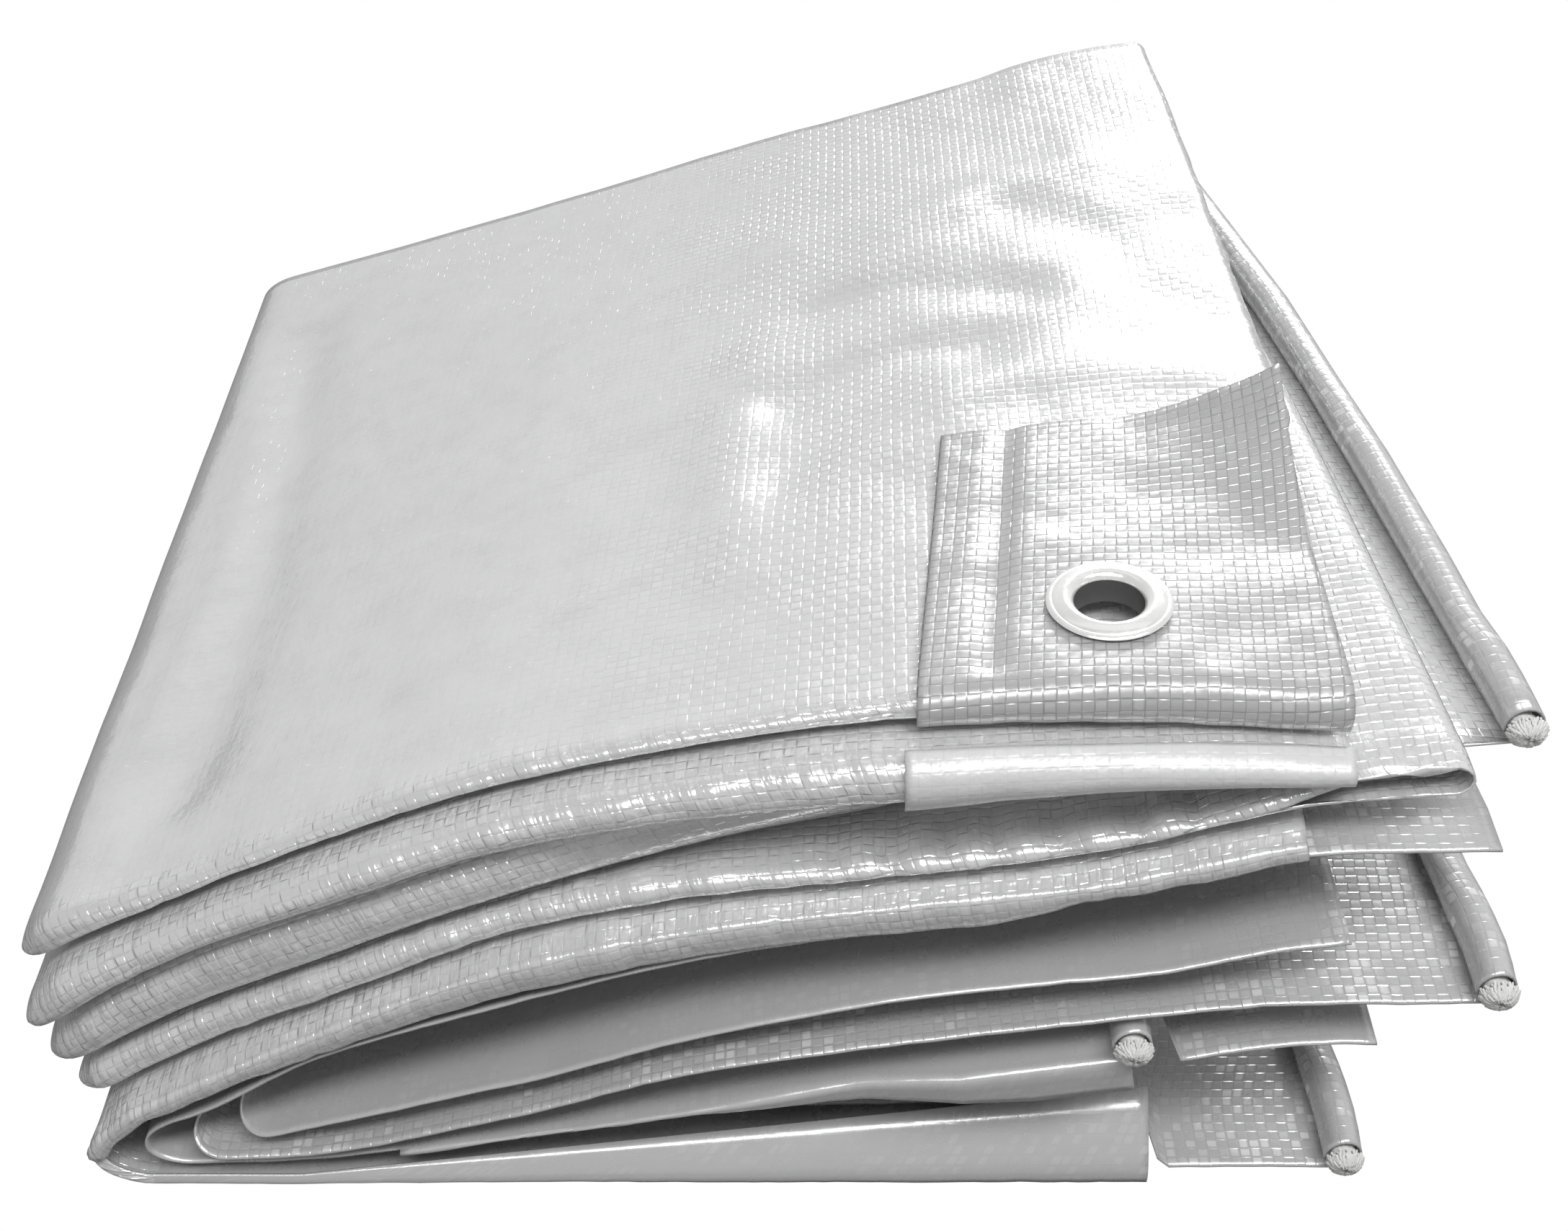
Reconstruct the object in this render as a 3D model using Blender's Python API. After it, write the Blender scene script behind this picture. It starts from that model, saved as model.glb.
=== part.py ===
"""Folded tarp: one sheet of woven tape cloth in its folds, with rope hems, a corner patch and an eyelet.

The drawing's frame has x to the right, y back from the front of the stack and z up from the floor.
Lengths in the drawing are millimetres. MM turns them into metres when the objects are made.
"""
import math

import bmesh
import bpy
from mathutils import Vector

MM = 0.001

# The middle of the stack in the drawing's frame, which becomes the origin
MIDDLE_X = -3.45
MIDDLE_Y = 144.95

# The cloth
SHEET = 1.2
PATCH = 1.0
GAP = 0.5
STACK_GAP = 0.35
ROPE_RADIUS = 2.8
ROPE_OUT = 1.5
HEM_RADIUS = 4.0
HEM_TURN = math.radians(292)
HEM_STEPS = 8
ROPE_SIDES = 10

# The back edge of the stack runs slantwise from left to right
BACK_LEFT = (-152.0, 272.0)
BACK_RIGHT = (104.0, 286.0)

# Heights of the stack's top along its back edge
TOP_BACK_X = (-152.0, -60.0, 20.0, 104.0, 150.0)
TOP_BACK_Z = (69.0, 95.0, 118.0, 139.5, 139.5)

# How a fold's round left end and round front are cut into steps
TURN_STEPS = (0.0, 28.0, 54.0, 76.0, 90.0)
ROLL_STEPS = (0.0, 34.0, 64.0, 90.0)

# The x of the columns between a limb's left turn and its right end, the same in every fold, so that
# neighbouring folds lie on each other. Where a limb is shorter, its columns close up at its end.
COLUMN_X = (-122.0, -92.0, -56.0, -20.0, 16.0, 50.0, 79.0, 100.0)
CLOSEST = 2.5
COLUMNS = len(TURN_STEPS) + len(COLUMN_X) + 1
INNER_LIP_COLUMN = COLUMNS + 2

# Shares of a limb's depth, from behind its front to the back
DEPTH_SHARES = (0.10, 0.33, 0.66, 1.0)

# The x of the height columns
AT_X = (-150.0, -130.0, -100.0, -60.0, -20.0, 20.0, 60.0, 80.0, 100.0, 130.0)

# How far a height curve runs on past its first and its last column
RUN_ON = (6.0, 20.0)

# Where one fold lies on the next, as seen at the front: a row for each boundary, a column for each AT_X
BOUNDARIES = {
    "top": (72.5, 79.5, 94.5, 112.9, 124.0, 131.8, 134.8, 133.9, 131.7, 131.0),
    "a_b": (61.0, 72.0, 88.0, 106.5, 118.0, 124.6, 125.6, 124.6, 123.0, 122.0),
    "b_c": (47.5, 61.5, 77.5, 95.3, 106.0, 112.0, 116.5, 117.6, 118.0, 118.5),
    "c_d": (33.0, 45.5, 61.0, 79.0, 90.5, 95.5, 102.5, 108.5, 117.3, 122.5),
    "d_e": (24.5, 36.5, 53.0, 70.8, 82.5, 89.5, 96.0, 103.0, 109.8, 113.2),
}

# Middle heights of the limbs that lie free, a column for each AT_X
LIMBS = {
    "e_up": (22.5, 34.9, 51.6, 69.4, 81.1, 88.1, 94.3, 100.0, 105.5, 106.8),
    "f_up": (15.0, 20.5, 37.4, 54.8, 69.2, 78.5, 88.0, 95.0, 100.0, 101.0),
    "g_up": (11.0, 16.5, 33.6, 50.9, 65.3, 74.5, 83.6, 90.0, 95.0, 96.0),
    "h_up": (8.0, 13.0, 29.5, 46.5, 60.5, 69.5, 78.0, 83.0, 87.0, 87.5),
    "h_low": (7.0, 9.0, 17.0, 30.0, 45.6, 56.8, 63.9, 68.2, 73.7, 78.5),
    "g_low": (6.5, 7.5, 10.1, 22.2, 36.5, 45.3, 52.5, 56.0, 59.6, 60.3),
    "f_low": (4.2, 4.6, 6.2, 13.8, 22.8, 33.4, 41.3, 45.0, 49.5, 52.0),
    "k_up": (3.0, 3.0, 4.0, 8.8, 17.5, 27.5, 36.0, 40.8, 45.5, 46.6),
    "k_low": (2.6, 2.6, 2.8, 3.4, 4.4, 5.4, 6.4, 6.8, 7.0, 7.0),
    "t": (0.6, 0.6, 0.6, 0.6, 0.6, 0.6, 0.6, 0.6, 0.6, 0.6),
}

# A row for each closed fold: outer left tip, depth of the left turn, front at left, middle and right,
# depth of the front roll, right end at front and back (or at front, behind the patch and at back),
# plan radius of the front left corner
CLOSED_FOLDS = {
    "a": dict(upper="top", lower="a_b", tip=-153.0, turn=9.0, front=(10.0, 10.0, 10.0), roll=4.0,
              right=(104.0, 110.0, 98.5), right_low=(103.0, 91.0, 91.0), corner=6.0),
    "b": dict(upper="a_b", lower="b_c", tip=-154.5, turn=10.0, front=(2.4, 0.8, 0.6), roll=6.0,
              right=(104.0, 91.0, 91.0), right_low=(104.0, 91.0, 91.0), corner=9.0),
    "c": dict(upper="b_c", lower="c_d", tip=-150.0, turn=10.0, front=(5.0, 8.5, 26.0), roll=6.5,
              right=(84.0, 91.0), right_low=(84.0, 91.0), corner=10.0),
    "d": dict(upper="c_d", lower="d_e", tip=-147.5, turn=8.0, front=(5.0, 4.6, 4.0), roll=4.2,
              right=(123.5, 98.5), right_low=(123.5, 98.5), corner=8.0),
}
EYE_COLUMNS = 2
EYE_FRONT = 4.5
EYE_TURN = 3.6

# A row for each open fold: outer left tip, depth of the left turn, right ends and fronts of its two limbs
OPEN_FOLDS = {
    "e": dict(upper="e_up", lower="t", tip=-148.0, turn=12.0,
              right=(143.2, 108.8), right_low=(79.0, 104.0), front=(0.0, 0.0), front_low=(0.0, 0.0)),
    "f": dict(upper="f_up", lower="f_low", tip=-138.0, turn=8.0,
              right=(135.0, 111.0), right_low=(71.0, 97.0), front=(3.0, 2.0), front_low=(3.0, 0.0)),
    "g": dict(upper="g_up", lower="g_low", tip=-128.0, turn=7.0,
              right=(128.0, 108.0), right_low=(141.4, 117.0), front=(10.0, 12.0), front_low=(1.0, 0.0)),
    "h": dict(upper="h_up", lower="h_low", tip=-118.0, turn=7.0,
              right=(124.0, 105.0), right_low=(111.0, 106.0), front=(16.0, 20.0), front_low=(3.0, 2.0)),
    "k": dict(upper="k_up", lower="k_low", tip=-72.0, turn=4.0,
              right=(121.0, 104.0), right_low=(120.0, 105.0), front=(16.0, 1.0), front_low=(18.0, 0.0),
              step_out=79.0, step_width=2.5, last_column=81.5),
}

# Where the fold e's upper limb is short at its front, and how far back it steps out to its rope hem
SHORT_RIGHT = 98.0
STEP_BACK = 23.5

# How far before its right end an open limb's front edge steps, and over what width
STEP_BEFORE = 55.0
STEP_WIDTH = 20.0

# Depths of an open fold's first rows behind its front edge
FRONT_DEPTHS = [0.0, 3.0, 11.0]
LIP_DEPTHS = [1.0, 3.0, 11.0, STEP_BACK - 3.0, STEP_BACK]

# The turned-in front edges: how far they are turned in and lean back, at the left and right of a stretch
UPPER_LIP = dict(left=30.0, right=58.0, size=(7.5, 4.5), lean=(0.0, 0.0))
BOTTOM_LIP = dict(left=-105.0, right=79.0, size=(2.4, 17.0), lean=(1.0, 13.0))
INNER_LIP = dict(left=-20.0, right=50.0, size=(0.8, 9.5), lean=(0.5, 0.5))
LIP_ROUND = 0.9
LIP_NEAR = 1.0

# The most that a join between two folds bulges out at the back
JOIN_BULGE = 5.0

# The top fold's right end is flat under the patch, and a rope hem behind it
TOP_HEM_ROW = 5
UPPER_HEM_ROW = 6

# The corner patch: its left edge at front and back, right edge, depth, raised corner and last roll angle
PATCH_LEFT = (23.0, 34.0)
PATCH_RIGHT = 104.0
PATCH_BACK = 99.0
PATCH_ROLL_END = -35.0
PATCH_LIFT = 13.0
LIFT_FROM = (70.0, 52.0)

# The lower patch goes round the second fold's front between two roll angles
LOWER_ROLL = (66.0, -40.0)
LOWER_LEFT = (22.0, 22.0)

# The eyelet: its place on the top fold, bore, barrel and flanges
EYELET_X = 61.7
EYELET_Y = 34.0
BORE_RADIUS = 6.7
BARREL_RADIUS = 7.5
FLANGE_RADIUS = 12.1
LOWER_FLANGE_RADIUS = 10.8
FLANGE_THICK = 0.9
DOME = 0.7
FIT = 0.4
EYELET_SIDES = 40
HOLE_BELOW = -2.6
HOLE_ABOVE = 3.4
HOLE_AXIS = 0.0001

# Steps of a patch across, along its flat part and round a roll
PATCH_STEPS = 8
FLAT_STEPS = 6
PATCH_ROLL_STEPS = 6


def through(columns, row, x):
    """Height at x on a smooth curve through a table's row."""
    last = len(columns) - 1
    x = min(max(x, columns[0] - RUN_ON[0]), columns[last] + RUN_ON[1])
    i = 0
    while i < last - 1 and x > columns[i + 1]:
        i += 1
    x0, x1 = columns[i], columns[i + 1]
    z0, z1 = row[i], row[i + 1]
    slope = (z1 - z0) / (x1 - x0)
    before = (z0 - row[i - 1]) / (x0 - columns[i - 1]) if i > 0 else slope
    after = (row[i + 2] - z1) / (columns[i + 2] - x1) if i < last - 1 else slope
    m0 = 0.5 * (slope + before) * (x1 - x0)
    m1 = 0.5 * (slope + after) * (x1 - x0)
    t = (x - x0) / (x1 - x0)
    if t < 0.0:
        return z0 + m0 * t
    if t > 1.0:
        return z1 + m1 * (t - 1.0)
    a = 2.0 * t ** 3 - 3.0 * t ** 2 + 1.0
    b = t ** 3 - 2.0 * t ** 2 + t
    c = 3.0 * t ** 2 - 2.0 * t ** 3
    d = t ** 3 - t ** 2
    return a * z0 + b * m0 + c * z1 + d * m1


def blend(a, b, share):
    return a + (b - a) * share


def back_y(x):
    share = (x - BACK_LEFT[0]) / (BACK_RIGHT[0] - BACK_LEFT[0])
    return blend(BACK_LEFT[1], BACK_RIGHT[1], share)


def depth_scale(x, y):
    """The stack's height at a depth y against its height at the front."""
    share = min(max(y / back_y(x), 0.0), 1.0)
    ratio = through(TOP_BACK_X, TOP_BACK_Z, x) / through(AT_X, BOUNDARIES["top"], x)
    return 1.0 + (ratio - 1.0) * share


def column_x(fold, right, k):
    """The x of column k of a limb: the steps of the left turn, then its columns, last its right end."""
    tip = fold["tip"] + SHEET / 2.0
    if k < len(TURN_STEPS):
        return tip + fold["turn"] * (1.0 - math.cos(math.radians(TURN_STEPS[k])))
    if k == COLUMNS - 1:
        return right
    columns = COLUMN_X[:-1] + (fold.get("last_column", COLUMN_X[-1]),)
    x = max(columns[k - len(TURN_STEPS)], tip + fold["turn"] + CLOSEST * (k - len(TURN_STEPS) + 1))
    return min(x, right - CLOSEST * (COLUMNS - 1 - k))


def column_rise(k):
    """How far column k stands off the middle of its fold, 0 at the tip and 1 past the turn."""
    if k < len(TURN_STEPS):
        return math.sin(math.radians(TURN_STEPS[k]))
    return 1.0


def right_end(ends, share):
    """A limb's right end at a share of the depth."""
    if len(ends) == 2:
        return blend(ends[0], ends[1], share)
    if share < DEPTH_SHARES[1]:
        return ends[0]
    return blend(ends[1], ends[2], share)


def three_point(values, share):
    """Left, middle and right values of a row, read at a share of the length."""
    if share < 0.5:
        return blend(values[0], values[1], share * 2.0)
    return blend(values[1], values[2], share * 2.0 - 1.0)


def fold_share(fold, x):
    start = fold["tip"] + fold["turn"]
    return min(max((x - start) / (fold["right"][0] - start), 0.0), 1.0)


def closed_height(fold, x, side):
    """A closed fold's middle height, and how far its upper (1) or lower (-1) limb is from that."""
    top = through(AT_X, BOUNDARIES[fold["upper"]], x)
    low = through(AT_X, BOUNDARIES[fold["lower"]], x)
    slope = (through(AT_X, BOUNDARIES[fold["lower"]], x + 1.0) - low)
    room = STACK_GAP * (1.0 + slope) + SHEET / 2.0 * math.hypot(1.0, slope)
    return (top + low) / 2.0, side * ((top - low) / 2.0 - room)


def closed_point(fold, side, k, roll_angle, depth_share):
    """A point of a closed fold: roll_angle goes from 0 at the front line to 90 behind the roll."""
    ends = fold["right"] if side > 0 else fold["right_low"]
    x = column_x(fold, right_end(ends, depth_share), k)
    corner = fold["corner"] * (1.0 - column_rise(k))
    return roll_point(fold, x, side * roll_angle, depth_share, corner, column_rise(k))


def roll_point(fold, x, angle, depth_share, corner=0.0, rise=1.0):
    """A point at x of a closed fold: angle goes from 90 on its upper limb over 0 in front to -90 below."""
    front = three_point(fold["front"], fold_share(fold, x)) + SHEET / 2.0 + corner
    y = front + fold["roll"] * (1.0 - math.cos(math.radians(angle)))
    y = blend(y, back_y(x), depth_share)
    middle, half = closed_height(fold, x, 1)
    z = middle + half * rise * math.sin(math.radians(angle))
    return Vector((x, y, z * depth_scale(x, y)))


def open_heights(fold, x):
    top = through(AT_X, LIMBS[fold["upper"]], x)
    low = through(AT_X, LIMBS[fold["lower"]], x)
    return (top + low) / 2.0, (top - low) / 2.0


def limb_front(fold, side, x):
    """Front of an open fold's limb: the first value at its left, the second right of where it steps out."""
    values = fold["front"] if side > 0 else fold["front_low"]
    ends = fold["right"] if side > 0 else fold["right_low"]
    start = fold.get("step_out", ends[0] - STEP_BEFORE)
    share = min(max((x - start) / fold.get("step_width", STEP_WIDTH), 0.0), 1.0)
    return blend(values[0], values[1], share)


def open_point(fold, side, k, y_at_front, depth_share):
    """A point of an open fold, y_at_front behind its front edge, or at a share of the depth."""
    ends = fold["right"] if side > 0 else fold["right_low"]
    right = blend(ends[0], ends[1], depth_share)
    if fold["upper"] == "e_up" and side > 0 and y_at_front < STEP_BACK:
        right = SHORT_RIGHT
    x = column_x(fold, right, k)
    front = limb_front(fold, side, x)
    if k < len(TURN_STEPS):
        other = limb_front(fold, -side, x)
        front = blend(blend(front, other, 0.5), front, column_rise(k))
    y = blend(front + y_at_front, back_y(x), depth_share)
    middle, half = open_heights(fold, x)
    z = middle + side * half * column_rise(k)
    if fold["lower"] == "t" and side < 0 and k >= len(TURN_STEPS) - 1:
        return Vector((x, y, z))
    return Vector((x, y, z * depth_scale(x, y)))


class Cloth:
    """The sheet's middle surface: grids of quads that share the points of their common edges."""

    def __init__(self):
        self.points = []
        self.faces = []

    def add(self, point):
        self.points.append(Vector(point))
        return len(self.points) - 1

    def grid(self, rows):
        """Quads between rows of point numbers, leaving out quads that have shrunk to a line."""
        for row, following in zip(rows, rows[1:]):
            for k in range(len(row) - 1):
                corners = (row[k], row[k + 1], following[k + 1], following[k])
                kept = []
                for corner in corners:
                    if corner not in kept:
                        kept.append(corner)
                if len(kept) > 2:
                    self.faces.append(tuple(kept))

    def join(self, first, second, bulge, direction, steps=3):
        """A round turn from the edge first to the edge second, bulging along direction."""
        rows = [first]
        for step in range(1, steps):
            angle = math.pi * step / steps
            row = []
            for a, b in zip(first, second):
                start, end = self.points[a], self.points[b]
                middle = (start + end) / 2.0
                out = direction * (bulge * math.sin(angle))
                row.append(self.add(middle + (start - middle) * math.cos(angle) + out))
            rows.append(row)
        rows.append(second)
        self.grid(rows)

    def hem(self, edge, side):
        """The edge curled round a rope, upward (side 1) or downward (side -1): the tube's points by row."""
        rows = [edge]
        for step in range(1, HEM_STEPS + 1):
            angle = HEM_TURN * step / HEM_STEPS
            row = []
            for number in edge:
                base = self.points[number]
                across = HEM_RADIUS * math.sin(angle)
                up = HEM_RADIUS * (1.0 - math.cos(angle))
                row.append(self.add(base + Vector((across, 0.0, side * up))))
            rows.append(row)
        self.grid(rows)


def closed_fold(cloth, fold, eye=False):
    """A fold closed at its left and along its front. Gives the point numbers of its two limbs' edges."""
    stations = []
    for angle in ROLL_STEPS:
        stations.append((angle, 0.0))
    for share in DEPTH_SHARES:
        stations.append((90.0, share))
    limbs = {}
    for side in (1, -1):
        rows = []
        for number, (angle, share) in enumerate(stations):
            row = []
            for k in range(COLUMNS):
                shared_front = number == 0
                shared_tip = k == 0
                if side < 0 and (shared_front or shared_tip):
                    row.append(limbs[1][number][k])
                    continue
                row.append(cloth.add(closed_point(fold, side, k, angle, share)))
            rows.append(row)
        limbs[side] = rows
    if eye:
        open_eye(cloth, fold, limbs)
    for side in (1, -1):
        cloth.grid(limbs[side])
    return limbs


def open_eye(cloth, fold, limbs):
    """In its last columns the fold's front is open, and its right end turns over like an eye."""
    for k in range(COLUMNS - EYE_COLUMNS, COLUMNS):
        limbs[-1][0][k] = cloth.add(cloth.points[limbs[1][0][k]])
        for number in range(len(ROLL_STEPS)):
            for side in (1, -1):
                point = cloth.points[limbs[side][number][k]]
                middle, half = closed_height(fold, point.x, side)
                point.y = EYE_FRONT + (point.y - EYE_FRONT) * number / len(ROLL_STEPS)
                point.z = (middle + half) * depth_scale(point.x, point.y)
    right_up = [row[-1] for row in limbs[1]]
    right_low = [row[-1] for row in limbs[-1]]
    cloth.join(right_up, right_low, EYE_TURN, Vector((1.0, 0.0, 0.0)))


def lip_size(fold, side, x):
    """How far the front edge is turned in, and how far that strip leans back."""
    strip = INNER_LIP
    if fold["lower"] == "t":
        strip = UPPER_LIP if side > 0 else BOTTOM_LIP
    share = min(max((x - strip["left"]) / (strip["right"] - strip["left"]), 0.0), 1.0)
    return blend(*strip["size"], share), blend(*strip["lean"], share)


def open_fold(cloth, fold, lip):
    """A fold with free front edges. A lip turns them in: on both limbs, the lower one or none."""
    order = [(1, k) for k in range(COLUMNS - 1, 0, -1)] + [(-1, k) for k in range(COLUMNS)]
    fronts = LIP_DEPTHS if lip == "both" else FRONT_DEPTHS
    stations = [(depth, 0.0) for depth in fronts] + [(fronts[-1], share) for share in DEPTH_SHARES]
    rows = []
    for y_at_front, share in stations:
        rows.append([cloth.add(open_point(fold, side, k, y_at_front, share)) for side, k in order])
    if lip != "none":
        rows = add_lip(cloth, fold, lip, order, rows)
    upper = []
    lower = []
    for row in rows:
        upper.append(list(reversed(row[:COLUMNS])))
        lower.append(row[COLUMNS - 1:])
    if lip == "lower":
        cloth.grid([row[INNER_LIP_COLUMN:] for row in rows[:2]])
        cloth.grid(rows[1:])
    else:
        cloth.grid(rows)
    return {1: upper, -1: lower}


def add_lip(cloth, fold, lip, order, rows):
    """Rows in front of the first one that turn towards the inside of the fold."""
    edge = rows[0]
    sign = -1.0 if lip == "lower" else 1.0
    near = []
    end = []
    for place, (side, k) in enumerate(order):
        before = cloth.points[edge[max(place - 1, 0)]]
        after = cloth.points[edge[min(place + 1, len(edge) - 1)]]
        along = (after - before).normalized()
        inward = along.cross(Vector((0.0, sign, 0.0)))
        base = cloth.points[edge[place]]
        size, lean = lip_size(fold, side, base.x)
        end.append(cloth.add(base + inward * size + Vector((0.0, lean - LIP_ROUND, 0.0))))
        if lip == "both":
            near.append(cloth.add(base + inward * LIP_NEAR + Vector((0.0, -LIP_ROUND, 0.0))))
    if lip == "both":
        return [end, near] + rows
    return [end] + rows


def sheet_surface():
    """All folds of the one sheet, each joined to the next along the back."""
    cloth = Cloth()
    back = Vector((0.0, 1.0, 0.0))
    limbs = {}
    for name, fold in CLOSED_FOLDS.items():
        limbs[name] = closed_fold(cloth, fold, eye=name == "d")
    lips = {"e": "both", "f": "lower", "g": "none", "h": "none", "k": "none"}
    for name, fold in OPEN_FOLDS.items():
        limbs[name] = open_fold(cloth, fold, lips[name])
    joins = (
        ("a", -1, "b", 1, -122.0), ("b", -1, "c", 1, -122.0), ("c", -1, "d", 1, -122.0),
        ("d", -1, "e", 1, -122.0), ("e", -1, "k", -1, -56.0), ("k", 1, "f", -1, -56.0),
        ("f", 1, "g", 1, -92.0), ("g", -1, "h", -1, -92.0),
    )
    for name, side, other, other_side, left in joins:
        first = len(TURN_STEPS) + COLUMN_X.index(left)
        start = limbs[name][side][-1][first:]
        end = limbs[other][other_side][-1][first:]
        height = abs(cloth.points[start[-1]].z - cloth.points[end[-1]].z)
        cloth.join(start, end, min(height / 2.0, JOIN_BULGE), back)
    hems = {
        "hem_rope_top": ("a", 1, -1, TOP_HEM_ROW),
        "hem_rope_upper": ("e", 1, 1, UPPER_HEM_ROW),
        "hem_rope_middle": ("g", -1, 1, 0),
        "hem_rope_inner": ("f", -1, 1, 1),
        "hem_rope_bottom": ("k", -1, 1, 0),
    }
    ropes = {}
    for rope, (name, side, curl, start_row) in hems.items():
        edge = [row[-1] for row in limbs[name][side][start_row:]]
        cloth.hem(edge, curl)
        ropes[rope] = [cloth.points[number] + Vector((0.0, 0.0, curl * HEM_RADIUS)) for number in edge]
    return cloth, ropes


def clear_scene():
    for item in list(bpy.data.objects):
        bpy.data.objects.remove(item, do_unlink=True)


def material(name, colour, roughness, metallic):
    made = bpy.data.materials.new(name)
    made.use_nodes = True
    shader = made.node_tree.nodes["Principled BSDF"]
    shader.inputs["Base Color"].default_value = (*colour, 1.0)
    shader.inputs["Roughness"].default_value = roughness
    shader.inputs["Metallic"].default_value = metallic
    return made


def to_metres(point):
    return Vector((point.x - MIDDLE_X, point.y - MIDDLE_Y, point.z)) * MM


def make_object(name, points, faces, finish):
    mesh = bpy.data.meshes.new(name)
    mesh.from_pydata([to_metres(Vector(point)) for point in points], [], faces)
    mesh.materials.append(finish)
    made = bpy.data.objects.new(name, mesh)
    bpy.context.scene.collection.objects.link(made)
    return made


def make_regular(made):
    """Neighbouring faces made to agree on their outer side."""
    work = bmesh.new()
    work.from_mesh(made.data)
    bmesh.ops.recalc_face_normals(work, faces=work.faces)
    work.to_mesh(made.data)
    work.free()


def thicken(made, thickness):
    solid = made.modifiers.new("Thickness", "SOLIDIFY")
    solid.thickness = thickness * MM
    solid.offset = 0.0
    solid.use_rim = True


def tarp_sheet():
    cloth, ropes = sheet_surface()
    made = make_object("tarp_sheet", cloth.points, cloth.faces, material(
        "silver woven tape cloth", (0.70, 0.71, 0.72), 0.32, 0.25))
    make_regular(made)
    thicken(made, SHEET)
    return made, ropes


def hem_rope(name, centres, finish):
    """A rope along its hem's middle, a little out of the hem at the end that shows."""
    path = [point.copy() for point in centres]
    if name == "hem_rope_top":
        path[-1].y += ROPE_OUT
    else:
        path[0].y -= ROPE_OUT
        path[-1].y -= ROPE_OUT
    work = bmesh.new()
    rings = []
    for point in path:
        ring = []
        for side in range(ROPE_SIDES):
            angle = 2.0 * math.pi * side / ROPE_SIDES
            around = Vector((math.cos(angle), 0.0, math.sin(angle))) * ROPE_RADIUS
            ring.append(work.verts.new(to_metres(point + around)))
        rings.append(ring)
    for ring, following in zip(rings, rings[1:]):
        for side in range(ROPE_SIDES):
            other = (side + 1) % ROPE_SIDES
            work.faces.new((ring[side], following[side], following[other], ring[other]))
    work.faces.new(rings[0])
    work.faces.new(reversed(rings[-1]))
    bmesh.ops.recalc_face_normals(work, faces=work.faces)
    mesh = bpy.data.meshes.new(name)
    work.to_mesh(mesh)
    work.free()
    mesh.materials.append(finish)
    mesh.shade_smooth()
    mesh.set_sharp_from_angle(angle=math.radians(40.0))
    made = bpy.data.objects.new(name, mesh)
    bpy.context.scene.collection.objects.link(made)
    return made


def outward(fold, x, angle, depth_share):
    """Direction away from the cloth on a closed fold's outer side."""
    across = roll_point(fold, x + 1.0, angle, depth_share) - roll_point(fold, x - 1.0, angle, depth_share)
    if depth_share > 0.0 or angle == 90.0:
        along = roll_point(fold, x, 90.0, depth_share + 0.01) - roll_point(fold, x, 90.0, depth_share)
    else:
        along = roll_point(fold, x, angle + 1.0, 0.0) - roll_point(fold, x, angle - 1.0, 0.0)
    return across.cross(along).normalized()


def patch_rows(fold, stations, left_edge, lift):
    """Rows of a patch's middle surface on a closed fold."""
    off = SHEET / 2.0 + GAP + PATCH / 2.0
    points = []
    for angle, depth_share in stations:
        probe = roll_point(fold, PATCH_RIGHT, angle, depth_share)
        back_share = min(max(probe.y / PATCH_BACK, 0.0), 1.0)
        left = blend(left_edge[0], left_edge[1], back_share)
        row = []
        for step in range(PATCH_STEPS + 1):
            x = blend(left, PATCH_RIGHT, step / PATCH_STEPS)
            base = roll_point(fold, x, angle, depth_share)
            point = base + outward(fold, x, angle, depth_share) * off
            side = max(0.0, (x - LIFT_FROM[0]) / (PATCH_RIGHT - LIFT_FROM[0]))
            back = max(0.0, (base.y - LIFT_FROM[1]) / (PATCH_BACK - LIFT_FROM[1]))
            point.z += lift * (side * back) ** 1.5
            row.append(point)
        points.append(row)
    return points


def patch(name, rows, finish):
    points = [point for row in rows for point in row]
    width = len(rows[0])
    faces = []
    for r in range(len(rows) - 1):
        for k in range(width - 1):
            start = r * width + k
            faces.append((start, start + 1, start + width + 1, start + width))
    made = make_object(name, points, faces, finish)
    make_regular(made)
    thicken(made, PATCH)
    return made


def patch_depths(fold, rows):
    """Depth shares of the corner patch's flat rows, from its back edge to the roll."""
    front = fold["front"][2] + SHEET / 2.0 + fold["roll"]
    most = (PATCH_BACK - front) / (back_y(PATCH_RIGHT) - front)
    return [most * (1.0 - step / rows) for step in range(rows)]


def patches():
    top = CLOSED_FOLDS["a"]
    second = CLOSED_FOLDS["b"]
    cloth = material("patch cloth", (0.76, 0.77, 0.78), 0.25, 0.25)
    smooth = material("smooth patch cloth", (0.80, 0.81, 0.82), 0.22, 0.25)
    shares = [step / PATCH_ROLL_STEPS for step in range(PATCH_ROLL_STEPS + 1)]
    flat = [(90.0, depth_share) for depth_share in patch_depths(top, FLAT_STEPS)]
    roll = [(blend(90.0, PATCH_ROLL_END, share), 0.0) for share in shares]
    upper = patch("corner_patch", patch_rows(top, flat + roll, PATCH_LEFT, PATCH_LIFT), cloth)
    lower_roll = [(blend(*LOWER_ROLL, share), 0.0) for share in shares]
    lower = patch("lower_patch", patch_rows(second, lower_roll, LOWER_LEFT, 0.0), smooth)
    return upper, lower


def eyelet_place():
    """The eyelet's middle on the top sheet's middle surface, and its axis."""
    fold = CLOSED_FOLDS["a"]
    start = fold["front"][2] + SHEET / 2.0 + fold["roll"]
    share = (EYELET_Y - start) / (back_y(EYELET_X) - start)
    left = roll_point(fold, EYELET_X - FLANGE_RADIUS, 90.0, share)
    right = roll_point(fold, EYELET_X + FLANGE_RADIUS, 90.0, share)
    return (left + right) / 2.0, outward(fold, EYELET_X, 90.0, share)


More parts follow.
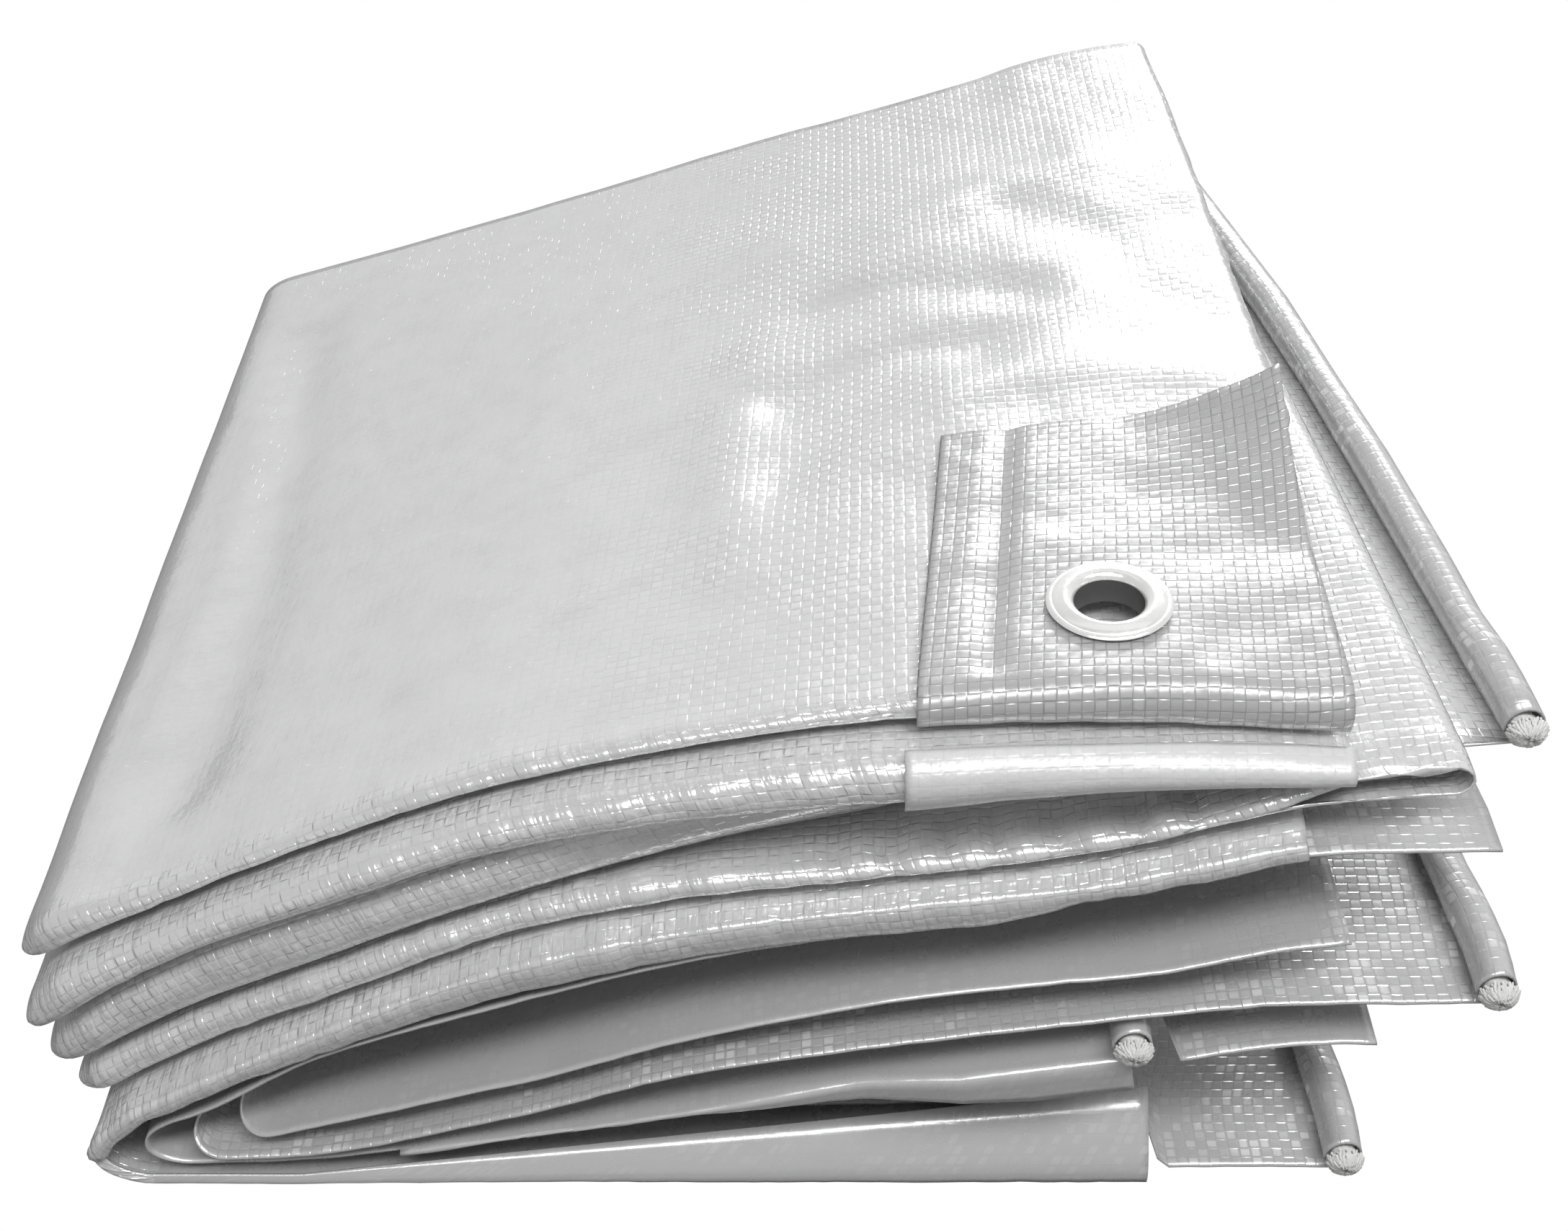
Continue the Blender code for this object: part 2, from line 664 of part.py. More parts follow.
def turned(name, profile, sides):
    """A solid turned round the z axis from a closed profile of radius and height in millimetres."""
    work = bmesh.new()
    rings = []
    for radius, height in profile:
        ring = []
        for side in range(sides):
            angle = 2.0 * math.pi * side / sides
            place = Vector((radius * math.cos(angle), radius * math.sin(angle), height))
            ring.append(work.verts.new(place * MM))
        rings.append(ring)
    for ring, following in zip(rings, rings[1:] + rings[:1]):
        for side in range(sides):
            other = (side + 1) % sides
            work.faces.new((ring[side], ring[other], following[other], following[side]))
    bmesh.ops.recalc_face_normals(work, faces=work.faces)
    mesh = bpy.data.meshes.new(name)
    work.to_mesh(mesh)
    work.free()
    made = bpy.data.objects.new(name, mesh)
    bpy.context.scene.collection.objects.link(made)
    return made


def eyelet():
    place, axis = eyelet_place()
    patch_top = SHEET / 2.0 + GAP + PATCH + FIT / 2.0
    under = -SHEET / 2.0 - 2.0 * FIT
    top = patch_top + FIT + FLANGE_THICK
    profile = (
        (BORE_RADIUS, under - FLANGE_THICK),
        (BORE_RADIUS, top - 0.4),
        (BORE_RADIUS + 1.0, top + DOME * 0.7),
        (BORE_RADIUS + 2.4, top + DOME),
        (FLANGE_RADIUS - 1.4, top),
        (FLANGE_RADIUS, patch_top + FIT + 0.3),
        (FLANGE_RADIUS - 0.3, patch_top + FIT),
        (BARREL_RADIUS, patch_top + FIT),
        (BARREL_RADIUS, under),
        (LOWER_FLANGE_RADIUS, under),
        (LOWER_FLANGE_RADIUS, under - FLANGE_THICK),
    )
    made = turned("eyelet", profile, EYELET_SIDES)
    made.data.materials.append(material("pressed metal", (0.80, 0.80, 0.79), 0.24, 1.0))
    made.data.shade_smooth()
    made.data.set_sharp_from_angle(angle=math.radians(35.0))
    made.location = to_metres(place)
    made.rotation_mode = "QUATERNION"
    made.rotation_quaternion = Vector((0.0, 0.0, 1.0)).rotation_difference(axis)
    return made


def eyelet_hole(sheet, corner_patch):
    """The hole for the eyelet's barrel through the patch and the top sheet."""
    place, axis = eyelet_place()
    radius = BARREL_RADIUS + FIT
    profile = ((HOLE_AXIS, HOLE_BELOW), (radius, HOLE_BELOW), (radius, HOLE_ABOVE), (HOLE_AXIS, HOLE_ABOVE))
    cutter = turned("hole_guide", profile, EYELET_SIDES)
    cutter.location = to_metres(place)
    cutter.rotation_mode = "QUATERNION"
    cutter.rotation_quaternion = Vector((0.0, 0.0, 1.0)).rotation_difference(axis)
    cutter.hide_render = True
    cutter.display_type = "WIRE"
    for made in (sheet, corner_patch):
        cut = made.modifiers.new("Eyelet hole", "BOOLEAN")
        cut.operation = "DIFFERENCE"
        cut.object = cutter


def main():
    clear_scene()
    sheet, ropes = tarp_sheet()
    corner_patch, lower_patch = patches()
    eyelet()
    eyelet_hole(sheet, corner_patch)
    rope_finish = material("white braided rope", (0.86, 0.86, 0.84), 0.7, 0.0)
    for name, centres in ropes.items():
        hem_rope(name, centres, rope_finish)


main()
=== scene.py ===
"""Folded tarp, dressed: glossy woven tape cloth on the part's folds, its patches, eyelet and ropes.

The drawing's frame has x to the right, y back from the front of the stack and z up from the floor,
in millimetres. to_row turns a point of it into the row's frame in metres.
"""
import math

import bmesh
import bpy
import numpy as np
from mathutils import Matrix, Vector


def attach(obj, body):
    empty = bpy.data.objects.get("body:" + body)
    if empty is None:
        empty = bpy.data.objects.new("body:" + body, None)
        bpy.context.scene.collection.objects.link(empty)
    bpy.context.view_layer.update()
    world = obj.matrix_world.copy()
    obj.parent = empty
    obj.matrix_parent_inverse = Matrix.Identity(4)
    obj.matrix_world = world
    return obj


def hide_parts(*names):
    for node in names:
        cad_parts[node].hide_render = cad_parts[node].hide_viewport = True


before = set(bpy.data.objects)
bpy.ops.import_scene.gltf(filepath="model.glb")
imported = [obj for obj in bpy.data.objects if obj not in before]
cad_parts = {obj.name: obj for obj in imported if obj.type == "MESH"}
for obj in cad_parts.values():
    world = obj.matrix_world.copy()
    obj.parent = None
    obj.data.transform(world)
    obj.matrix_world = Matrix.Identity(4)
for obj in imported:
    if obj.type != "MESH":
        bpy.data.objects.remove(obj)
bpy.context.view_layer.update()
MM = 0.001

# The middle of the stack in the drawing's frame
MIDDLE_X = -3.45
MIDDLE_Y = 144.95

# The camera stands in front of the stack and looks down on it
CAMERA = (0.0, -273.0, 381.0)
CAMERA_PITCH = 39.0
CAMERA_LENS = 47.66
SENSOR = 36.0

# The cloth here, the thicker sheet and patch of the solids that place it, the gaps between them, the
# width of a tape, and the whole tarp's width in metres
CLOTH = 0.5
SHEET = 1.2
PATCH = 1.0
GAP = 0.5
STACK_GAP = 0.35
TAPE = 2.3

# The cloth's kinds, in the order of its materials; the inner and dashed kinds are the same cloth painted
# darker for the shade inside the folds
OUTER, SHADED_INNER, SHADED_DASHED = 0, 1, 2
FOLD_KINDS = {"e": OUTER, "f": SHADED_INNER, "g": SHADED_DASHED, "h": SHADED_INNER, "k": SHADED_INNER}

# The ropes: their strands, and the fibres of their cut ends
ROPE_RADIUS = 2.8
ROPE_OUT = 1.5
ROPE_SIDES = 18
ROPE_STEP = 2.2
STRAND_DEPTH = 0.14
STRAND_PITCH = 3.4
KNOB_RADIUS = 3.9
KNOB_LENGTH = 3.4
KNOB_BACK = 0.8
KNOB_FLAT = 0.86
FIBRES = 120
FIBRE_STEPS = 5
FIBRE_SIDES = 5
GOLDEN_TURN = 2.399963

# The hems round them. The top hem starts as a nose: its share of the full radius, and how it grows
HEM_RADIUS = 4.0
HEM_TURN = math.radians(292)
HEM_STEPS = 16
HEM_CRUMPLE = 0.35
NOSE_START = 0.15
NOSE_GROWTH = 0.085
NOSE_ROWS = 4

# The back edge of the stack and the heights of its top there
BACK_LEFT = (-152.0, 272.0)
BACK_RIGHT = (104.0, 286.0)
TOP_BACK_X = (-152.0, -60.0, 20.0, 104.0, 150.0)
TOP_BACK_Z = (69.0, 95.0, 118.0, 139.5, 139.5)

# The x of the height columns
AT_X = (-158.0, -148.0, -130.0, -100.0, -60.0, -20.0, 20.0, 60.0, 80.0, 100.0, 130.0)

# Where one fold lies on the next, as seen at the front
BOUNDARIES = {
    "top": (65.5, 72.8, 79.5, 94.5, 112.9, 124.0, 131.8, 134.8, 133.9, 131.7, 131.0),
    "a_b": (51.0, 61.0, 71.8, 88.0, 106.5, 118.0, 124.6, 125.6, 124.6, 123.0, 122.0),
    "b_c": (37.0, 47.0, 60.5, 77.5, 95.3, 106.0, 112.0, 116.5, 117.6, 118.0, 118.5),
    "c_d": (22.0, 30.5, 43.0, 59.6, 79.0, 90.5, 95.5, 102.5, 108.5, 117.3, 122.5),
    "d_e": (12.0, 19.5, 31.5, 49.5, 70.0, 82.5, 89.5, 96.0, 103.0, 109.8, 113.2),
}

# Middle heights of the limbs that lie free
LIMBS = {
    "e_up": (11.5, 18.0, 29.9, 48.1, 68.6, 81.1, 88.1, 94.3, 100.0, 105.5, 106.8),
    "f_up": (11.0, 14.0, 18.5, 37.4, 54.8, 69.2, 78.5, 88.0, 95.0, 100.0, 101.0),
    "g_up": (9.0, 11.0, 15.0, 33.6, 50.9, 65.3, 74.5, 83.6, 90.0, 95.0, 96.0),
    "h_up": (7.0, 8.0, 12.5, 29.5, 46.5, 60.5, 69.5, 78.0, 83.0, 87.0, 87.5),
    "h_low": (6.5, 7.0, 9.0, 17.0, 30.0, 45.6, 56.8, 63.9, 68.2, 73.7, 78.5),
    "g_low": (6.3, 6.5, 7.5, 10.1, 22.2, 36.5, 45.3, 52.5, 56.0, 59.6, 60.3),
    "f_low": (4.0, 4.2, 4.6, 6.2, 13.8, 22.8, 33.4, 41.3, 45.0, 49.5, 52.0),
    "k_up": (3.0, 3.0, 3.0, 4.0, 8.8, 17.5, 27.5, 36.0, 40.8, 45.5, 46.6),
    "k_low": (2.6, 2.6, 2.6, 2.8, 3.4, 4.4, 5.4, 6.4, 6.8, 7.0, 7.0),
    "t": (0.6,) * 11,
}

# The x of the front columns
FRONT_X = (-112.0, -84.0, -54.0, -26.0, 2.0, 28.0, 56.0, 80.0)

# A row for each closed fold: left tip, depth of the left turn, front at each FRONT_X, depth of the
# front roll, right ends at front, behind the patch and at the back, plan radius of the left corner,
# crumple of the roll, and how far the right edge bends in at the back
CLOSED_FOLDS = {
    "a": dict(upper="top", lower="a_b", tip=-157.0, turn=10.0, roll=4.0, corner=6.0, crumple=0.9,
              front=(10.0,) * 8,
              right=(104.0, 109.5, 98.5), right_low=(103.0, 91.0, 91.0)),
    "b": dict(upper="a_b", lower="b_c", tip=-158.0, turn=11.0, roll=6.0, corner=9.0, crumple=1.0,
              front=(2.4, 1.0, 1.6, 0.8, 0.0, -0.6, 0.2, 1.0),
              right=(104.0, 91.0, 91.0), right_low=(104.0, 91.0, 91.0)),
    "c": dict(upper="b_c", lower="c_d", tip=-157.0, turn=12.0, roll=6.5, corner=10.0, crumple=0.8,
              front=(5.0, 4.0, 5.0, 8.5, 13.0, 17.0, 22.0, 26.0),
              right=(84.0, 91.0), right_low=(84.0, 91.0)),
    "d": dict(upper="c_d", lower="d_e", tip=-152.5, turn=10.0, roll=4.2, corner=8.0, crumple=1.2,
              front=(5.5, 4.0, 5.0, 4.8, 4.0, 4.0, 4.2, 3.6),
              right=(123.5, 98.5), right_low=(123.5, 98.5), bent=9.0),
}

# Where a right edge starts to bend in, and how; where it leaves the patch, as shares of the depth
BEND_FROM = 0.4
BEND_POWER = 1.5
PATCH_SHARE = 0.1
PATCH_FADE = 0.2

# The fourth fold's open right end, and the scallops of its ridge
EYE_START = 92.0
EYE_FRONT = 4.5
EYE_TURN = 3.6
EYE_FADE = 14.0
SCALLOP_PITCH = 12.0
SCALLOP_HEIGHT = 2.6

# A row for each open fold: left tip, depth of the left turn, right ends and fronts of its two limbs,
# and where its front steps in
OPEN_FOLDS = {
    "e": dict(upper="e_up", lower="t", tip=-149.5, turn=12.0, bent=11.0,
              right=(143.2, 108.8), right_low=(79.0, 104.0), front=(1.6, 1.6), front_low=(0.0, 0.0)),
    "f": dict(upper="f_up", lower="f_low", tip=-138.0, turn=8.0,
              right=(135.0, 111.0), right_low=(71.0, 97.0), front=(3.0, 2.0), front_low=(3.0, 0.0)),
    "g": dict(upper="g_up", lower="g_low", tip=-128.0, turn=7.0,
              right=(128.0, 108.0), right_low=(141.4, 117.0), front=(10.0, 12.0), front_low=(1.0, 0.0)),
    "h": dict(upper="h_up", lower="h_low", tip=-118.0, turn=7.0,
              right=(124.0, 105.0), right_low=(111.0, 106.0), front=(16.0, 20.0), front_low=(3.0, 2.0)),
    "k": dict(upper="k_up", lower="k_low", tip=-72.0, turn=4.0,
              right=(121.0, 104.0), right_low=(120.0, 105.0), front=(16.0, 1.0), front_low=(18.0, 0.0),
              step_out=79.2, step_width=1.8),
}
STEP_BEFORE = 55.0
STEP_WIDTH = 20.0

# The first open fold's front: its short end beside the step, its drop, and the groove along it
SHORT_RIGHT = 98.0
STEP_BACK = 23.5
FRONT_DROP = 1.3
DROP_DEPTH = 7.0
GROOVE = 0.8
GROOVE_BACK = 1.0
GROOVE_WIDTH = 0.7

# The turns that join the folds along the back: their bulge at most, and their place on the cloth
JOIN_BULGE = 5.0
JOIN_PLACE = 280.0

# The share of the depth where the top hem starts
HEM_SHARE = 0.33

# The turned-in front edges: how far they are turned in and lean back, at a stretch's left and right
BOTTOM_LIP = dict(left=-105.0, right=79.0, size=(2.4, 17.0), lean=(1.0, 13.0))
INNER_LIP = dict(left=-20.0, right=50.0, size=(0.8, 9.5), lean=(0.5, 0.5))
LIP_ROUND = 0.9
LIP_SHARES = (1.0, 0.8, 0.6, 0.4, 0.22, 0.1)

# The first open fold's front hem: its height along x, and its round section as shares down and depths
HEM_X = (-148.0, -120.0, -70.0, 40.0, 58.0)
HEM_HEIGHT = (3.2, 4.8, 8.4, 8.8, 5.0)
HEM_SECTION = ((1.0, 0.9), (0.86, -0.4), (0.58, -1.3), (0.30, -1.6), (0.07, -1.4), (-0.06, -0.7))

# The corner patch, the lower patch and the eyelet
PATCH_LEFT = (23.0, 34.0)
PATCH_RIGHT = 104.0
PATCH_BACK = 99.0
PATCH_ROLL_END = -35.0
PATCH_LIFT = 13.0
LIFT_FROM = (70.0, 52.0)
LOWER_ROLL = (74.0, -52.0)
LOWER_LEFT = (22.0, 22.0)
EYELET_X = 61.7
EYELET_Y = 34.0
BORE_RADIUS = 6.7
BARREL_RADIUS = 7.5
FLANGE_RADIUS = 12.1
LOWER_FLANGE_RADIUS = 10.8
FLANGE_THICK = 0.9
DOME = 0.7
THROAT_ROUND = 1.2
FIT = 0.4
HOLE_RADIUS = 9.2

# The tapes' depth and those of the film's crumples and pleats, in metres; how far the pleats reach back,
# and how little the weave shows where it hardly does
TAPE_DEPTH = 0.00016
FINE_DEPTH = 0.0002
FILM_DEPTH = 0.0009
PLEAT_DEPTH = 0.0016
PLEATS_UNTIL = (-0.134, -0.126)
HARDLY = 0.16

# Each cloth's look. smooth_until says between which x its tapes come to show; a pleated one shows them
# along the front too. The inner and dashed looks are the silver cloth painted darker as shade; glints
# are painted highlights
LOOKS = {
    "silver woven cloth": dict(
        light=0.80, dark=0.50, roughness=0.24, metallic=0.40, weave=0.9, crumple=0.26, lines=0.06,
        smooth_until=(-0.060, 0.020), pleated=True, painted_glints=0.45, coat=0.5),
    "inner woven cloth painted in shade": dict(
        light=0.60, dark=0.44, roughness=0.28, metallic=0.30, weave=0.50, crumple=0.06, lines=0.10,
        smooth_until=(0.075, 0.100), painted_glints=0.7, coat=0.4),
    "dashed woven cloth painted in shade": dict(
        light=0.58, dark=0.42, roughness=0.28, metallic=0.30, weave=0.70, crumple=0.14, lines=0.20,
        painted_glints=0.6, coat=0.4),
    "patch woven cloth": dict(
        light=0.50, dark=0.20, roughness=0.34, metallic=0.22, weave=0.9, crumple=0.24, lines=0.55,
        painted_glints=0.15, coat=0.4),
    "smooth patch cloth": dict(
        light=0.70, dark=0.54, roughness=0.42, metallic=0.15, weave=0.35, crumple=0.6, lines=0.12,
        painted_glints=0.1, coat=0.12),
}

# The studio: ranges of the sky's brightness backward, up from the horizon and high up; and each
# light's place, target, size and power
SKY_BACKWARD = (-1.0, 1.0, 0.36, 0.56)
SKY_HORIZON = (-0.05, 0.02, 1.0)
SKY_HIGH = (0.40, 0.90, 1.0, 0.40)
LIGHTS = {
    "glare light": ((0.40, 1.30, 0.66), (0.06, 0.06, 0.13), (0.60, 0.40), 14.0),
    "overhead light": ((0.0, 0.30, 1.4), (0.0, 0.0, 0.08), (1.8, 0.35), 1.0),
    "front light": ((0.2, -0.66, 1.24), (0.0, -0.12, 0.08), (1.4, 0.30), 15.0),
}
FLOOR_GREY = 0.20
FLOOR_HALF = 3.0

# How finely the sheet is cut
TURN_STEPS = 10
FLAT_STEPS = 86
ROLL_STEPS = 9
TOP_ROW = 3.2
DEPTHS = (0.010, 0.025, 0.045, 0.075, 0.12, 0.19, 0.33, 0.45, 0.58, 0.72, 0.86, 1.0)


def blend(a, b, share):
    return a + (b - a) * share


def clamp(value):
    return min(max(value, 0.0), 1.0)


def through(columns, row, x):
    """Height at x on a smooth curve through a table's row."""
    last = len(columns) - 1
    x = min(max(x, columns[0] - 6.0), columns[last] + 20.0)
    i = 0
    while i < last - 1 and x > columns[i + 1]:
        i += 1
    x0, x1 = columns[i], columns[i + 1]
    z0, z1 = row[i], row[i + 1]
    slope = (z1 - z0) / (x1 - x0)
    before = (z0 - row[i - 1]) / (x0 - columns[i - 1]) if i > 0 else slope
    after = (row[i + 2] - z1) / (columns[i + 2] - x1) if i < last - 1 else slope
    m0 = 0.5 * (slope + before) * (x1 - x0)
    m1 = 0.5 * (slope + after) * (x1 - x0)
    t = (x - x0) / (x1 - x0)
    if t < 0.0:
        return z0 + m0 * t
    if t > 1.0:
        return z1 + m1 * (t - 1.0)
    a = 2.0 * t ** 3 - 3.0 * t ** 2 + 1.0
    b = t ** 3 - 2.0 * t ** 2 + t
    c = 3.0 * t ** 2 - 2.0 * t ** 3
    d = t ** 3 - t ** 2
    return a * z0 + b * m0 + c * z1 + d * m1


def back_y(x):
    share = (x - BACK_LEFT[0]) / (BACK_RIGHT[0] - BACK_LEFT[0])
    return blend(BACK_LEFT[1], BACK_RIGHT[1], share)


def depth_scale(x, y):
    """The stack's height at a depth y against its height at the front."""
    ratio = through(TOP_BACK_X, TOP_BACK_Z, x) / through(AT_X, BOUNDARIES["top"], x)
    return 1.0 + (ratio - 1.0) * clamp(y / back_y(x))


def right_end(fold, side, share):
    """A limb's right end at a share of the depth."""
    ends = fold["right"] if side > 0 else fold["right_low"]
    if len(ends) == 2:
        bend = clamp((share - BEND_FROM) / (1.0 - BEND_FROM)) ** BEND_POWER
        return blend(ends[0], ends[1], share) - fold.get("bent", 0.0) * bend
    behind = blend(ends[1], ends[2], share)
    return blend(ends[0], behind, clamp((share - PATCH_SHARE) / PATCH_FADE))


def columns_of(fold, right):
    """A limb's columns as pairs of x and rise: the round left turn, then its flat part."""
    tip = fold["tip"] + SHEET / 2.0
    start = tip + fold["turn"]
    columns = []
    for step in range(TURN_STEPS):
        angle = 0.5 * math.pi * step / TURN_STEPS
        columns.append((tip + fold["turn"] * (1.0 - math.cos(angle)), math.sin(angle)))
    for step in range(FLAT_STEPS + 1):
        columns.append((blend(start, right, step / FLAT_STEPS), 1.0))
    return columns


def roll_point(fold, x, angle, depth_share, corner=0.0, rise=1.0):
    """A point at x of a closed fold: angle goes from 90 on its upper limb over 0 to -90 below."""
    front = through(FRONT_X, fold["front"], x) + SHEET / 2.0 + corner
    y = front + fold["roll"] * (1.0 - math.cos(math.radians(angle)))
    y = blend(y, back_y(x), depth_share)
    top = through(AT_X, BOUNDARIES[fold["upper"]], x)
    low = through(AT_X, BOUNDARIES[fold["lower"]], x)
    slope = through(AT_X, BOUNDARIES[fold["lower"]], x + 1.0) - low
    room = STACK_GAP * (1.0 + slope) + SHEET / 2.0 * math.hypot(1.0, slope)
    z = (top + low) / 2.0 + ((top - low) / 2.0 - room) * rise * math.sin(math.radians(angle))
    return Vector((x, y, z * depth_scale(x, y)))


def limb_front(fold, side, x):
    values = fold["front"] if side > 0 else fold["front_low"]
    ends = fold["right"] if side > 0 else fold["right_low"]
    start = fold.get("step_out", ends[0] - STEP_BEFORE)
    return blend(values[0], values[1], clamp((x - start) / fold.get("step_width", STEP_WIDTH)))


def open_point(fold, side, column, y_at_front, depth_share):
    """A point of an open fold, y_at_front behind its front edge, or at a share of the depth."""
    x, rise = column
    front = limb_front(fold, side, x)
    if rise < 1.0:
        other = limb_front(fold, -side, x)
        front = blend(blend(front, other, 0.5), front, rise)
    y = blend(front + y_at_front, back_y(x), depth_share)
    top = through(AT_X, LIMBS[fold["upper"]], x)
    low = through(AT_X, LIMBS[fold["lower"]], x)
    z = (top + low) / 2.0 + side * (top - low) / 2.0 * rise
    if fold["upper"] == "e_up" and side > 0:
        z -= FRONT_DROP * rise * clamp(1.0 - (y - front) / DROP_DEPTH)
        z -= GROOVE * rise * math.exp(-((y - front - GROOVE_BACK) / GROOVE_WIDTH) ** 2)
    if fold["lower"] == "t" and side < 0 and rise > 0.99:
        return Vector((x, y, z))
    return Vector((x, y, z * depth_scale(x, y)))


def value_noise(u, v, size, seed):
    """Smooth noise from -1 to 1 with features of the given size."""
    table = np.random.default_rng(seed).uniform(-1.0, 1.0, (64, 64))
    a, b = np.asarray(u) / size, np.asarray(v) / size
    i, j = np.floor(a).astype(int), np.floor(b).astype(int)
    s, t = a - i, b - j
    s, t = s * s * (3 - 2 * s), t * t * (3 - 2 * t)
    i0, i1, j0, j1 = i % 64, (i + 1) % 64, j % 64, (j + 1) % 64
    low = table[i0, j0] * (1 - s) + table[i1, j0] * s
    high = table[i0, j1] * (1 - s) + table[i1, j1] * s
    return low * (1 - t) + high * t


def creases(u, v, size, seed):
    """Sharp little ridges, as crumpled foil has, from 0 to 1."""
    return 1.0 - np.abs(value_noise(u, v, size, seed)) ** 0.6


def lengths(points):
    """Lengths along each row and down each column of an array of points."""
    along = np.zeros(points.shape[:2])
    down = np.zeros(points.shape[:2])
    along[:, 1:] = np.cumsum(np.linalg.norm(np.diff(points, axis=1), axis=2), axis=1)
    down[1:] = np.cumsum(np.linalg.norm(np.diff(points, axis=0), axis=2), axis=0)
    return along, down


def pushed(points, amount):
    """The points moved along the surface's own direction by an amount at each."""
    across = np.gradient(points, axis=1)
    down = np.gradient(points, axis=0)
    out = np.cross(across, down)
    size = np.linalg.norm(out, axis=2, keepdims=True)
    out = out / np.maximum(size, 1e-9)
    return points + out * amount[:, :, None]


def near_line(x, y, line, width):
    """1 on a line of points, falling softly to 0 a width away from it."""
    best = np.full(np.shape(x), 1e9)
    for (x0, y0), (x1, y1) in zip(line, line[1:]):
        length = (x1 - x0) ** 2 + (y1 - y0) ** 2
        t = np.clip(((x - x0) * (x1 - x0) + (y - y0) * (y1 - y0)) / length, 0.0, 1.0)
        best = np.minimum(best, np.hypot(x - x0 - t * (x1 - x0), y - y0 - t * (y1 - y0)))
    return np.exp(-(best / width) ** 2)


# Creases and buckles of the top sheet: a line of places, a half width and a height
TOP_CREASES = (
    (((-95, 100), (-72, 112), (-55, 130)), 3.0, 0.5),
    (((-62, 104), (-40, 112), (-8, 134)), 4.0, -0.6),
    (((-78, 44), (-55, 56), (-20, 72)), 3.0, 0.5),
    (((-128, 40), (-122, 90), (-128, 170), (-134, 230)), 9.0, -1.6),
    (((-138, 60), (-134, 120), (-138, 190)), 5.0, 1.0),
    (((-70, 170), (-30, 185), (0, 205)), 7.0, 0.7),
    (((8, 168), (30, 172), (56, 160)), 8.0, -1.9),
    (((2, 126), (18, 138), (44, 140)), 9.0, -2.4),
    (((0, 90), (6, 108), (22, 122)), 8.0, -1.5),
    (((40, 118), (66, 124), (90, 116)), 9.0, 1.6),
    (((-10, 60), (-14, 110), (-6, 150)), 8.0, 1.3),
    (((60, 200), (80, 180), (88, 150)), 9.0, -1.3),
    (((30, 200), (52, 215), (80, 220)), 10.0, 1.2),
)


def top_relief(points):
    """The top sheet's soft creases, buckles and finest crumple."""
    x, y = points[:, :, 0], points[:, :, 1]
    height = np.zeros(x.shape)
    for line, width, size in TOP_CREASES:
        height += size * near_line(x, y, line, width)
    right = np.clip((x + 20.0) / 60.0, 0.0, 1.0)
    height += (0.25 + 0.5 * right) * value_noise(x, y, 26.0, 3)
    height += (0.10 + 0.22 * right) * value_noise(x, y, 11.0, 4)
    height += 0.10 * creases(x, y, 17.0, 5)
    return height


def scallops(u, x):
    """The soft scallops of the fourth fold's ridge, from its middle to its right."""
    phase = (u + 3.0 * value_noise(u, u * 0.0, 22.0, 61)) / SCALLOP_PITCH
    size = np.clip((x + 5.0) / 30.0, 0.0, 1.0) * np.clip((86.0 - x) / 12.0, 0.0, 1.0)
    return size * (np.abs(np.sin(math.pi * phase)) - 0.55)


def fold_relief(u, v, seed, jagged):
    """The crumple of a rolled front edge, strongest at its bend."""
    bend = np.exp(-(v / 8.0) ** 2)
    height = jagged * bend * (creases(u, v * 0.25, 8.0, seed) - 0.6)
    height += 0.5 * jagged * bend * value_noise(u, v * 0.5, 4.0, seed + 1)
    height += 0.4 * value_noise(u, v, 24.0, seed + 2)
    return height


class Cloth:
    """The sheet: grids of quads that share their common edges' points, with places on the cloth."""

    def __init__(self):
        self.points = []
        self.faces = []
        self.places = []
        self.kind = 0
        self.kinds = []

    def add_all(self, points):
        first = len(self.points)
        flat = np.asarray(points).reshape(-1, 3)
        self.points.extend(flat.tolist())
        return np.arange(first, first + len(flat)).reshape(np.shape(points)[:2])

    def grid(self, rows, u, v, skip=None):
        """Quads between rows of point numbers, without those that are skipped or shrunk to a line."""
        for r in range(len(rows) - 1):
            for k in range(len(rows[r]) - 1):
                if skip is not None and skip[r, k]:
                    continue
                kept = []
                places = []
                for i, j in ((r, k), (r, k + 1), (r + 1, k + 1), (r + 1, k)):
                    if rows[i][j] not in kept:
                        kept.append(rows[i][j])
                        places.append((u[i, j], v[i, j]))
                if len(kept) > 2:
                    self.faces.append([int(number) for number in kept])
                    self.places.extend(places)
                    self.kinds.append(self.kind)

    def array(self, rows):
        return np.array([[self.points[number] for number in row] for row in rows])

    def join(self, first, second, bulge, direction, v_start, steps=6):
        """A round turn from the edge first to the edge second, bulging along direction."""
        start, end = self.array([first])[0], self.array([second])[0]
        middle = (start + end) / 2.0
        rows = [list(first)]
        for step in range(1, steps):
            angle = math.pi * step / steps
            row = middle + (start - middle) * math.cos(angle)
            row = row + np.array(direction) * bulge * math.sin(angle)
            rows.append(self.add_all(row[None])[0])
        rows.append(list(second))
        u, v = lengths(self.array(rows))
        self.grid(rows, u, v + v_start)

    def hem(self, edge, side):
        """The edge curled round a rope: upward (side 1), or downward from a closed nose (side -1)."""
        base = self.array([edge])[0]
        rows = [list(edge)]
        run = np.concatenate(([0.0], np.cumsum(np.linalg.norm(np.diff(base, axis=0), axis=1))))
        nose = np.clip(NOSE_START + NOSE_GROWTH * run, 0.0, 1.0) if side < 0 else 1.0
        for step in range(1, HEM_STEPS + 1):
            angle = HEM_TURN * step / HEM_STEPS
            uneven = value_noise(run, np.full(len(run), step * 1.5), 7.0, 31)
            radius = (HEM_RADIUS + HEM_CRUMPLE * uneven) * nose
            row = base.copy()
            row[:, 0] += radius * math.sin(angle)
            row[:, 2] += side * radius * (1.0 - math.cos(angle))
            rows.append(self.add_all(row[None])[0])
        u, v = lengths(self.array(rows))
        self.grid(rows, v, u)


